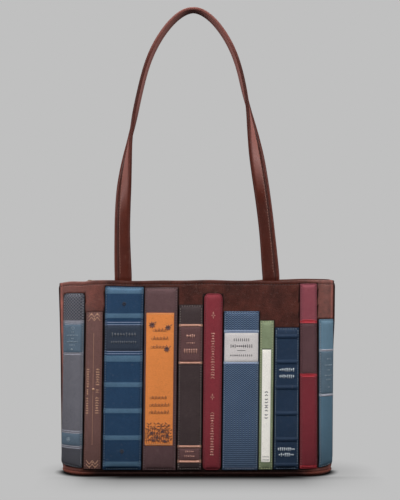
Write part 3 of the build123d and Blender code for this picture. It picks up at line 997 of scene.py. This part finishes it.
pairs = [z + step for z in (34.8, 52.8, 147.4, 184.6) for step in (1.15, -1.15)]
Stamp("slate_rules", slate, "silver_foil", "slate").rules(pairs, 0.8)
stamp = Stamp("slate_ornament", slate, "mist_ink", "slate_teal", on_label)
stamp.ring(0, 178.6, 1.5)
for z, reach in ((173.6, 1.4), (169.6, 5.4), (165.8, 1.2), (161.8, 5.8), (157.8, 2.4)):
    stamp.motifs(z, reach, 1.5, 1.9)
stamp.diamond(0, 152.8, 2.8, 3.0)
stamp.ring(0, 44.0, 2.4)
stamp.flower(0, 44.0, 2.0, 4)

stamp = Stamp("gilt_brown_ornament", gilt_brown, "gold_foil", "gilt_brown")
for end_z, turn in ((195.6, -1), (10.6, 1)):
    for step in (0.0, 4.4):
        heights = end_z + turn * (step + np.array([4.6, 0, 4.6, 0, 4.6]))
        stamp.ribbon(np.column_stack([np.linspace(-7.0, 7.0, 5), heights]), 0.6)
    for x in (-3.5, 3.5):
        stamp.diamond(x, end_z + turn * 1.2, 1.5, 2.4)
    stamp.diamond(0, end_z + turn * 6.2, 1.3, 2.2)
stamp.upright(-0.4, 38, 172, 0.3)
for column in (
    (-7.2, 76, 94, 2.9, 3.0), (-7.0, 99, 104, 2.4, 2.6), (-6.8, 108, 131, 2.9, 3.2),
    (4.6, 76, 97, 3.0, 3.8), (4.8, 101, 106, 2.5, 3.2), (5.0, 110, 131, 3.0, 4.0),
):
    stamp.ladder(*column, bar=0.4)
Stamp("gilt_brown_bead", gilt_brown, "gold_foil", "gilt_brown", 0.25).dot(0, 104.4, 1.5)

Stamp("wide_blue_rules", wide_blue, "ice_ink", "wide_blue").rules((147.0, 149.8, 181.8, 184.6), 0.55)
stamp = Stamp("wide_blue_ornament", wide_blue, "faint_ink", "wide_blue_label", on_label)
stamp.motifs(170.2, 13.6, 3.4, 5.0)
stamp.motifs(161.0, 14.6, 2.6, 3.6)
stamp = Stamp("wide_blue_sprigs", wide_blue, "navy_ink", "wide_blue")
for z in (207.0, 30.6):
    stamp.flower(0, z, 3.0, 6)
    stamp.upright(0, z - 5.0, z - 2.6, 0.5)

stamp = Stamp("orange_sprigs", plum, "umber_ink", "orange", on_label)
for z, reach in ((175.4, 7.0), (165.6, 8.6), (155.4, 9.4), (94.8, 9.6), (85.8, 10.0), (77.0, 10.4)):
    for x in np.arange(-reach, reach, 3.9):
        tall = chance.uniform(1.4, 3.2)
        stamp.ring(x - 1.0, z - 0.6, 1.25, 0.42)
        stamp.ribbon([(x + 0.7, z - 2.0), (x + 0.9, z + tall), (x + 2.3, z - 1.5)], 0.42)
for x in np.arange(-15.0, 14.2, 2.7):
    top = 60.0 + 3.4 * math.sin(x * 0.9)
    stem = [(x, 39.8), (x + chance.uniform(-2.4, 2.4), 50.0), (x + chance.uniform(-1.2, 1.2), top)]
    stamp.ribbon(stem, 0.6)
    for z in np.arange(42.0, top, 3.3):
        for side in (-1, 1):
            rise, spread = chance.uniform(-1.5, 1.5), chance.uniform(35, 70)
            stamp.leaf(x + side * 0.3, z + rise, 90 - side * spread, chance.uniform(2.8, 4.4), 1.3)
stamp = Stamp("orange_flowers", plum, "berry_ink", "orange", 0.52)
for x, z, size, turn in ((-10.4, 181.6, 3.6, 10), (8.8, 178.4, 3.3, 40), (7.6, 152.6, 3.4, 25)):
    stamp.flower(x, z, size * 1.25, 8, turn, 0.3)
    stamp.ring(x, z, size * 0.72, 0.5)
    stamp.leaf(x + 2.6, z + 2.0, 40, 3.2, 1.1)
for x, z in ((-9.5, 52.5), (-3.0, 47.0), (3.4, 54.0), (9.2, 49.0), (-7.2, 43.6), (6.4, 42.8)):
    stamp.flower(x, z, 2.8, 7, chance.uniform(0, 70), 0.34)
stamp = Stamp("orange_rules", plum, "gold_foil", "orange", on_label)
for z in (195.0, 38.9):
    stamp.ribbon([(x, z) for x in np.linspace(-17.2, 15.6, 14)], 0.5)

Stamp("charcoal_rules", charcoal, "copper_foil", "charcoal", 0.3).rules((17.9, 36.0, 136.0, 181.0), 2.5, 1.8)
stamp = Stamp("charcoal_ornament", charcoal, "copper_foil", "charcoal_label", on_label)
for z, reach, tall in (
    (168.4, 5.0, 5.0), (160.0, 4.4, 1.6), (150.4, 8.0, 5.6), (30.2, 5.0, 2.2), (24.6, 5.4, 2.4),
):
    stamp.motifs(z, reach, 2.1, tall, 0.2)

stamp = Stamp("dark_red_ornament", dark_red, "rose_foil", "dark_red")
for z, size in ((193.0, 4.6), (95.2, 4.2)):
    stamp.diamond(0, z + size * 0.55, 2.0, size * 1.1)
    stamp.diamond(0, z - size * 0.5, 1.6, size * 0.9)
    for x in (-1.5, 1.5):
        stamp.diamond(x, z, 2.2, 2.0)
stamp.ladder(0, 118.5, 172.5, 3.1, 4.6)
stamp.ladder(0, 26.5, 76.5, 3.1, 4.6)

Stamp("patterned_blue_rules", patterned_blue, "ice_ink", "patterned_blue", 0.12).rules(
    (135.4, 174.2), 1.3, 1.9).rules((10.4,), 0.7, 2.2)
stamp = Stamp("white_label_ornament", patterned_blue, "dark_ink", "white_label", on_label)
for z, reach, tall in ((163.8, 9.6, 3.4), (156.4, 13.6, 4.2), (145.2, 12.6, 2.4)):
    stamp.motifs(z, reach, 2.5, tall, 0.2)
stamp.ribbon([(x, 151.0) for x in np.linspace(-5, 5, 6)], 0.7)
rows = np.linspace(138.2, 171.4, 16)
Stamp("white_label_stitches", patterned_blue, "pale_thread", "white_label").parts = [
    patterned_blue.seam(np.full_like(rows, across), rows, 0.42, 2.4, 1.6, 0.24) for across in (2.1, 40.2)
]

Stamp("green_rule", green, "dark_ink", "green").rules((152.9,), 0.8)
stamp = Stamp("ivory_ornament", green, "dark_ink", "ivory_label", on_label)
for z in np.arange(71.0, 101.0, 3.7):
    bend = 1.3 if chance.random() < 0.5 else -1.3
    stamp.ribbon([(-1.6, z), (0, z + bend), (1.8, z)], 0.9)
for z in (20.4, 24.0):
    stamp.motifs(z, 3.8, 1.3, 1.5)

stamp = Stamp("navy_ornament", navy, "pale_ink", "navy")
for z, reach in ((127.8, 8.4), (119.8, 8.6), (33.0, 9.6), (26.4, 8.4)):
    stamp.motifs(z, reach, 2.3, 4.4, 0.3, 0.5)

Stamp("red_rules", red, "scarlet_ink", "red", 0.12).rules((187.4, 184.3, 122.6, 119.5, 12.0), 1.3, 1.9)
Stamp("teal_rules", teal, "silver_foil", "teal", 0.15).rules((96.6, 151.2), 2.0, 1.8)
stamp = Stamp("teal_ornament", teal, "mist_ink", "teal_label", on_label)
for z, reach in ((140.6, 2.0), (133.0, 4.8), (127.2, 1.6), (120.6, 4.8), (115.6, 3.6), (106.6, 1.4)):
    stamp.motifs(z, reach, 1.9, 2.2)

for stamp in Stamp.made:
    stamp.build()


# ---------------------------------------------------------------- inside and zip

def foam_profile(low=wall_z + 0.1, high=233.2):
    outer, inner = -leather - 0.05, inside_wall + 0.05
    return [(outer, low), (outer, high), (inner, high), *((inner, z) for z in np.linspace(225, low, 14))]


def lining_profile(low=wall_z + 0.1):
    outer = inside_wall - 0.05
    return [(outer, low), (outer, facing_z), *((lining_face, z) for z in np.linspace(facing_z, low, 26))]


def facing_profile(top=bag_height):
    """The leather band inside the mouth, its top edge rounded."""
    outer = inside_wall - 0.05
    profile = [(outer, facing_z + 0.2), (outer, top - 0.1), (inside_wall - 0.3, top + 0.05)]
    profile += [(facing_face + 0.5, top), (facing_face, top - 0.7)]
    profile += [(facing_face, z) for z in np.linspace(top - 3, facing_z + 1.4, 8)]
    return profile + [(facing_face + 0.3, facing_z + 0.4)]


def zip_flap(side, turn):
    """The leather of one half of the zipped top, slightly wavy, with a row of stitches along both
    its edges. near and far are its distances from the bag's middle."""
    low, high = node_box(f"zip_facing_{side}")
    run = np.linspace(low[0], high[0], 80)
    near, far = sorted(np.abs([low[1], high[1]]))
    depths = np.array([near, near, near + 0.5, near + 2, near + 3.4, *np.linspace(near + 6, far - 5, 8),
                       far - 2.6, far - 1.2, far - 0.2, far])
    tops = np.interp(depths, [near, near + 0.5, near + 2, near + 3.4, near + 9, far - 3, far],
                     [0.9, 1.3, 1.15, 1.4, 1.45, 1.4, 0.9])
    tops[0] = 0.3
    wave = 0.12 * np.sin(run / 13.0) + 0.1 * np.sin(run / 5.7 + 1)
    x, y, top = np.broadcast_arrays(run[:, None], turn * depths, tops + wave[:, None] * (tops > 0.3))
    upper, lower = (np.stack([x, y, low[2] + height], axis=-1) for height in (top, 0 * top))
    parts = [(*closed_sheet(upper, lower, grid_faces(*x.shape)), 0)]
    for depth in (near + 2.0, far - 3.0):
        path = np.array([(x, turn * depth, low[2] + 1.3) for x in run[1:-1]])
        parts.append(seam(path, np.broadcast_to([0, 0, 1.0], path.shape), index=1))
    mesh_piece(f"zip_flap_{side}", parts, [facing_brown, brown_thread], "facing_leather",
               [f"zip_facing_{side}"], body=f"zip_{side}")


def zip_end(side, turn, inner_x=120.3, slot_x=143.0, slot_y=7.0, reach_y=34.2):
    """The fixed leather at one end of the zip, slotted where the zip's tape runs in."""
    low_z = node_box(f"zip_end_{side}")[0][2]
    beside = np.linspace(slot_y, reach_y, 12)
    ys = np.concatenate([-beside[::-1], np.linspace(-slot_y, slot_y, 6)[1:-1], beside])[:, None]
    level = 229.5
    corner = corner_radius(level)
    lift = np.maximum(np.abs(ys) - (half_depth(level) - corner), 0)
    outer_x = half_width - corner + np.sqrt(np.maximum((corner + facing_face) ** 2 - lift ** 2, 0)) - 0.4
    start = np.where(np.abs(ys) < slot_y - 0.01, slot_x, inner_x)
    x = start + (outer_x - start) * np.linspace(0, 1, 20)
    bulge = 1.4 + 0.25 * np.sin(x / 4.0) * smooth_step(x, 124, 132)
    upper, lower = (
        soften(np.stack(np.broadcast_arrays(turn * x, ys, low_z + height), axis=-1)) for height in (bulge, 0))
    mesh_piece(f"zip_end_{side}_leather", [(*closed_sheet(upper, lower, grid_faces(*x.shape)), 0)],
               [facing_brown], "facing_leather", [f"zip_end_{side}"])


def slip_pocket(hem_depth=6.5):
    """The flat pocket on the back's lining, thicker along its stitched hem."""
    low, high = node_box("slip_pocket")
    top = high[2]
    x = np.linspace(low[0], high[0], 40)
    rows = np.array([*np.linspace(low[2], top - 7, 20), top - 6, top - 1, top])
    proud = np.where(rows > top - hem_depth, 0.95, 0.6)
    proud[-1] = 0.7

    def sheet(z, lift):
        y = half_depth(z) + lining_face - lift
        return soften(np.stack(np.broadcast_arrays(x, y[:, None], z[:, None]), axis=-1))

    faces = grid_faces(len(rows), len(x))
    parts = [(*closed_sheet(sheet(rows, proud), sheet(rows, 0.06), faces), 0)]
    path = sheet(np.array([top - 4.6]), 0.85)[0]
    parts.append(seam(path, np.broadcast_to([0, -1.0, 0], path.shape), 3.0, 2.0, 0.22, 1))
    mesh_piece("slip_pocket_cloth", parts, [lining_cloth, brown_thread], "lining", ["slip_pocket"])


def slab(outline, low, high, bevel=0.3):
    """A flat casting with bevelled rims, as a part of a piece."""
    outline = np.transpose(outline)
    middle = outline.mean(axis=0)
    inner = outline - unit(outline - middle) * bevel
    rings = [(inner, low), (outline, low + bevel), (outline, high - bevel), (inner, high)]
    points = [np.column_stack([ring, np.full(len(ring), z)]) for ring, z in rings]
    return np.array(points), tube_faces(len(rings), len(outline)), 0


# The bail's outer and inner edge, (x from the slider's middle, height above its upper plate).
bail_outer = [(-4.6, 0.0), (-4.6, 1.8), (-4.3, 3.0), (-3.4, 3.75), (-2.2, 3.85), (0.4, 3.6), (2.6, 3.25),
              (3.9, 2.6), (4.5, 1.5), (4.6, 0.0)]
bail_inner = [(-3.7, 0.0), (-3.7, 1.7), (-3.5, 2.5), (-3.0, 2.95), (-2.1, 3.0), (0.3, 2.8), (2.4, 2.5),
              (3.2, 2.0), (3.7, 1.3), (3.7, 0.0)]


def zip_slider(plate=1.2, half_long=6.0, half_wide=5.5, overlap=0.1):
    """The slider's casting: two shield-shaped plates, the post between them and the bail on top."""
    low, high = node_box("zip_slider")
    middle_x = (low[0] + high[0]) / 2
    upper_z = node_box("zip_pull")[0][2] - 0.9 - plate
    cosines, sines = circle(40)
    shield = (
        middle_x + half_long * np.copysign(np.abs(cosines) ** 0.6, cosines),
        half_wide * np.copysign(np.abs(sines) ** 0.55, sines) * (1 - 0.12 * cosines),
    )
    post = middle_x + 2 * cosines, 0.28 * sines
    parts = [slab(shield, z, z + plate) for z in (low[2], upper_z)]
    parts.append(slab(post, low[2] + plate - overlap, upper_z + overlap, 0.05))
    lines = [(bail_outer, -0.7), (bail_outer, 0.7), (bail_inner, 1.0), (bail_inner, -1.0)]
    points = [[(middle_x + x, y, upper_z + plate - overlap + z) for x, z in line] for line, y in lines]
    count = len(bail_outer)
    faces = grid_faces(len(lines), count, close_rows=True)
    faces += [[row * count + end for row in range(len(lines))] for end in (0, count - 1)]
    parts.append((points, faces, 0))
    mesh_piece("zip_slider_casting", parts, [bronze], "zip_metal", ["zip_slider"], body="zip_slider")


for back, side in ((False, "front"), (True, "back")):
    wall_piece(f"{side}_foam", foam_profile(), foam, "foam", f"{side}_padding", back)
    wall_piece(f"{side}_lining_cloth", lining_profile(), lining_cloth, "lining", f"{side}_lining", back)
    wall_piece(
        f"{side}_facing_leather", facing_profile(), facing_brown, "facing_leather", f"{side}_facing", back)
    for name, z in (("upper", bag_height - 3.4), ("lower", facing_z + 2.6)):
        mesh_piece(f"{side}_facing_stitches_{name}", [wall_seam(facing_face + 0.1, z, -1.1, back)],
                   [brown_thread], "facing_leather")
    zip_flap(side, 1 if back else -1)
zip_end("left", -1)
zip_end("right", 1)
slip_pocket()
zip_slider()

carried_over = {
    lining_cloth: ["base_lining"],
    board: ["base_board"],
    tape_cloth: ["zip_tape_front", "zip_tape_back", "zip_tape_ends"],
    bronze: ["zip_teeth_front", "zip_teeth_back", "zip_teeth_ends", "zip_stops", "zip_pull"],
}
for material, names in carried_over.items():
    for name in names:
        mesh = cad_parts[name].data
        mesh.materials.clear()
        mesh.materials.append(material)


# ---------------------------------------------------------------- straps

hinge_y, hinge_z = 37.13, 240.0
lean = math.radians(4.4)
# The arch in its own leaning plane, (x, height above the hinge). The left and right legs make
# their quarter turn between the heights in turn_heights.
arch = [
    (-89.2, 0), (-90.2, 75), (-83.2, 153), (-68.5, 232), (-46.5, 291.5), (-4.3, 327.2),
    (36.5, 291.5), (56.8, 232), (71, 153), (82.5, 75), (89.3, 0),
]
turn_heights = (60, 205), (100, 240)
back_scale = (1.042, 1.014)
over_turn = 0.16
# Across the strap: (towards its outer edge, towards its face, shade). The shade is painted: darker in
# the stitch groove and along the inner edge.
strap_profile = [
    (9.5, 0.0, -0.1), (9.35, 1.1, 0.0), (8.6, 2.0, 0.1), (7.4, 2.25, 0.12), (6.2, 2.0, 0.0),
    (5.5, 1.35, -0.2), (4.9, 1.0, -0.45), (4.3, 1.15, -0.3), (3.8, 1.6, 0.1), (3.2, 1.72, 0.02),
    (2.6, 1.85, 0.08), (1.0, 2.05, 0.05),
    (-1.5, 2.15, 0.02), (-4.5, 2.15, 0.0), (-6.8, 2.0, -0.08), (-8.2, 1.6, -0.25), (-9.1, 0.9, -0.35),
    (-9.5, 0.0, -0.35), (-9.2, -1.1, -0.2), (-8.4, -1.9, 0.0), (-6.5, -2.2, 0.1), (-2.0, -2.2, 0.12),
    (2.6, -2.1, 0.1), (3.4, -1.95, 0.0), (4.6, -2.1, 0.05), (8.3, -2.0, 0.0), (9.2, -1.1, -0.1),
]
stitch_line = 3.2, 1.72
# Each foot from the hinge down between the panel and its padding: (z, share of the thickness).
foot_levels = [(237.5, 0.92), (235.0, 0.62), (231.0, 0.56), (224.0, 0.56), (214.0, 0.56)]


def smooth_curve(knots, pitch):
    """Even steps along a natural cubic spline through the knots."""
    knots = np.array(knots, float)
    at = travelled(knots)
    gaps = np.diff(at)
    count = len(knots)
    system, right = np.eye(count), np.zeros_like(knots)
    slopes = np.diff(knots, axis=0) / gaps[:, None]
    for row in range(1, count - 1):
        before, after = gaps[row - 1], gaps[row]
        system[row, row - 1:row + 2] = before, 2 * (before + after), after
        right[row] = 6 * (slopes[row] - slopes[row - 1])
    bends = np.linalg.solve(system, right)
    fine = np.linspace(0, at[-1], 4000)
    cell = np.clip(np.searchsorted(at, fine, side="right") - 1, 0, count - 2)
    gap = gaps[cell][:, None]
    a = (at[cell + 1] - fine)[:, None] / gap
    b = (fine - at[cell])[:, None] / gap
    curve = a * knots[cell] + b * knots[cell + 1]
    curve += ((a ** 3 - a) * bends[cell] + (b ** 3 - b) * bends[cell + 1]) * gap ** 2 / 6
    length = travelled(curve)
    return sampled(curve, length, np.linspace(0, length[-1], int(length[-1] / pitch) + 1))


def strap_line(side):
    """A strap from foot to foot: points, ways to its outer edge and to its face, thickness share."""
    curve = smooth_curve(np.array(arch) * (back_scale if side > 0 else 1), 3.0)
    plane = np.array([[1.0, 0, 0], [0, -side * math.sin(lean), math.cos(lean)]])
    normal = np.array([0, -math.cos(lean), -side * math.sin(lean)])
    slope = unit(np.gradient(curve, axis=0))
    path, tangent = curve @ plane + (0, side * hinge_y, hinge_z), slope @ plane
    half_way = len(curve) // 2
    legs = curve[:half_way, 1], curve[half_way:, 1]
    turned = np.concatenate([smooth_step(leg, *heights) for leg, heights in zip(legs, turn_heights)])
    turned = (turned * (math.pi / 2 + over_turn * np.abs(slope[:, 1])))[:, None]
    face = normal * -side * np.cos(turned) + np.cross(normal, tangent) * np.sin(turned)
    outer = np.cross(tangent, face) * side
    z, thin = np.array(foot_levels).T
    feet = []
    for end in (0, -1):
        y = side * (half_depth(z) - 2.7 + 0.35 * (z > 236))
        foot = np.column_stack([np.full_like(z, path[end][0]), y, z])
        ways = (np.broadcast_to(way, foot.shape) for way in (outer[end], [0, side, 0.0]))
        feet.append((foot, *ways, thin))
    left, right = feet
    middle = path, outer, face, np.ones(len(path))
    return [np.concatenate([a[::-1], b, c]) for a, b, c in zip(left, middle, right)]


def strap_shades(path):
    """Painted light on the strap: lighter where it turns its face up, inside and on top of the arch,
    and along its edges low on the legs.
    """
    z, right = path[:, 2:3], path[:, :1] > 0
    across, depth, shade = np.array(strap_profile).T
    on_face = smooth_step(across, -7.5, -5.5) * (1 - smooth_step(across, 3.4, 4.4)) * (depth > 0)
    underneath = depth < -1.95
    lit = smooth_step(z, 300 + 20 * right, 385 + 35 * right) * (1 - smooth_step(z, 490, 545))
    lit = lit * (1.8 + 0.9 * right)
    lit = (lit - 0.2 * right * (1 - smooth_step(z, 330, 400))) * on_face
    apex = 1.5 * smooth_step(z, 480, 550) * (depth > -1.95)
    under = 2.2 * smooth_step(z, 400, 470) * underneath * (across > -8)
    edge = 0.35 * (1 - smooth_step(z, 400, 470)) * ((across < -8) | (across > 7.5))
    return shade + lit + apex + under + edge


def strap(name, side):
    """A folded and stitched strap, sewn in at its feet and blended across its hinge."""
    path, outer, face, thickness = strap_line(side)
    flare = 1 + 0.09 * (1 - smooth_step(path[:, 2], hinge_z, hinge_z + 60))
    across, depth, shade = np.array(strap_profile).T[:, :, None]
    rings = path[:, None] + outer[:, None] * across * flare[:, None, None]
    rings = rings + face[:, None] * depth * thickness[:, None, None]
    parts = [(rings, tube_faces(*rings.shape[:2]), 0)]
    used = slice(6, len(path) - 6)
    line = path + outer * stitch_line[0] + face * stitch_line[1]
    parts.append(seam(line[used], face[used], 3.4, 2.4, 0.3, 1))
    piece = mesh_piece(f"{name}_strap", parts, [strap_brown, brown_thread], "strap_leather",
                       [f"{name}_handle", f"{name}_handle_ends"], strap_shades(path), body=None)
    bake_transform(piece)


strap("front", -1)
strap("back", 1)


# ---------------------------------------------------------------- camera, light and floor, in metres

camera_data = bpy.data.cameras.new("camera")
camera_data.sensor_fit = "VERTICAL"
camera_data.sensor_height = 24.0
camera_data.lens = 64.0
camera_data.clip_start, camera_data.clip_end = 0.05, 50.0
camera = bpy.data.objects.new("camera", camera_data)
camera.location = (0.0036, -1.648, 0.2718)
camera.rotation_euler = (math.pi / 2, 0, 0)
bpy.context.scene.collection.objects.link(camera)
bpy.context.scene.camera = camera

backdrop, ambient, floor_bounce = grey(0.527), grey(0.13), grey(0.06)
world = bpy.data.worlds.new("studio")
world.use_nodes = True
nodes, links = world.node_tree.nodes, world.node_tree.links
seen = nodes.new("ShaderNodeLightPath")
fill = nodes.new("ShaderNodeMix")
fill.data_type = "RGBA"
fill.inputs["A"].default_value, fill.inputs["B"].default_value = ambient, backdrop
links.new(seen.outputs["Is Camera Ray"], fill.inputs["Factor"])
links.new(fill.outputs["Result"], nodes["Background"].inputs["Color"])
bpy.context.scene.world = world


def area_light(name, place, target, size, watts):
    data = bpy.data.lights.new(name, "AREA")
    data.shape = "RECTANGLE"
    data.size, data.size_y = size
    data.energy = watts
    light = bpy.data.objects.new(name, data)
    light.location = place
    light.rotation_euler = (Vector(target) - Vector(place)).to_track_quat("-Z", "Y").to_euler()
    bpy.context.scene.collection.objects.link(light)


area_light("left_softbox", (-0.95, -0.72, 1.0), (0, 0, 0.35), (0.5, 0.9), 19)
area_light("right_softbox", (0.95, -0.72, 1.0), (0, 0, 0.35), (0.5, 0.9), 17)
area_light("overhead", (0.0, 0.3, 1.5), (0, 0, 0.2), (1.3, 0.7), 15)


def contact_shade(x, y, foot_x=0.163, foot_y=0.046, foot_corner=0.036):
    """The painted shadow of the bag on the floor, 0 to 1: a soft pool in front of it, less beside it,
    and a dark line along its foot."""
    fall_off = [
        (0.0, 1.0), (0.0057, 0.985), (0.0125, 0.89), (0.0194, 0.69), (0.0263, 0.53), (0.033, 0.45),
        (0.04, 0.38), (0.053, 0.30), (0.066, 0.21), (0.079, 0.135), (0.092, 0.08), (0.105, 0.036),
        (0.117, 0.01), (0.13, 0.0)]
    pool_ends = [
        (-0.19, 0.0), (-0.165, 0.12), (-0.146, 0.32), (-0.128, 0.67), (-0.092, 0.97), (0.1, 1.0),
        (0.124, 0.92), (0.148, 0.5), (0.165, 0.3), (0.18, 0.2), (0.2, 0.1), (0.225, 0.0)]
    right_side = [
        (0.0, 0.9), (0.002, 0.5), (0.006, 0.27), (0.0135, 0.19), (0.023, 0.155), (0.041, 0.08), (0.06, 0)]
    left_side = [(0.0, 0.9), (0.002, 0.4), (0.01, 0.13), (0.02, 0.07), (0.035, 0.0)]
    along_side = [(-0.06, 0.0), (-0.046, 0.9), (0.0, 1.0), (0.03, 0.75), (0.078, 0.35), (0.11, 0.0)]
    foot_line = [(0.0, 1.0), (0.003, 0.85), (0.008, 0.4), (0.014, 0.0)]

    def read(value, curve):
        return np.interp(value, *np.transpose(curve))

    gaps = np.abs(x) - foot_x, np.abs(y) - foot_y
    around = np.hypot(*(np.maximum(gap + foot_corner, 0) for gap in gaps)) - foot_corner
    in_front = read(np.maximum(-y - foot_y, 0), fall_off) * read(x, pool_ends) * (y < -foot_y)
    beside = np.where(x > 0, read(around, right_side), read(around, left_side)) * read(y, along_side)
    edge = read(around, foot_line) * (y < 0)
    return np.where(around < 0, 1.0, np.maximum(np.maximum(in_front, beside), edge))


reach = np.concatenate([np.linspace(0, 0.26, 105), np.linspace(0.28, 1.0, 16), [2.0, 4.0, 6.0]])
reach = np.concatenate([-reach[:0:-1], reach])
floor_points = np.array([(x, y, -0.0003) for y in reach for x in reach])
floor_mesh = bpy.data.meshes.new("floor")
floor_mesh.from_pydata(floor_points.tolist(), [], grid_faces(len(reach), len(reach)))
brightness = 1 - contact_shade(*floor_points.T[:2])
floor_mesh.attributes.new("shade", "FLOAT", "POINT").data.foreach_set("value", brightness.astype(np.float32))
floor = bpy.data.objects.new("floor", floor_mesh)
bpy.context.scene.collection.objects.link(floor)
# The floor glows: backdrop grey with the painted contact shadow to the camera, dim grey to other rays.
paper = Tree("floor_paper")
seen_floor = paper.add("LightPath").outputs["Is Camera Ray"]
shadowed_paper = paper.mix(paper.painted_shade(), grey(0.0), backdrop)
glow = paper.add("Emission", Color=paper.mix(seen_floor, floor_bounce, shadowed_paper))
paper.feed(paper.output.inputs["Surface"], glow.outputs["Emission"])
floor_mesh.materials.append(paper.material)

bpy.context.scene.view_settings.view_transform = "Standard"
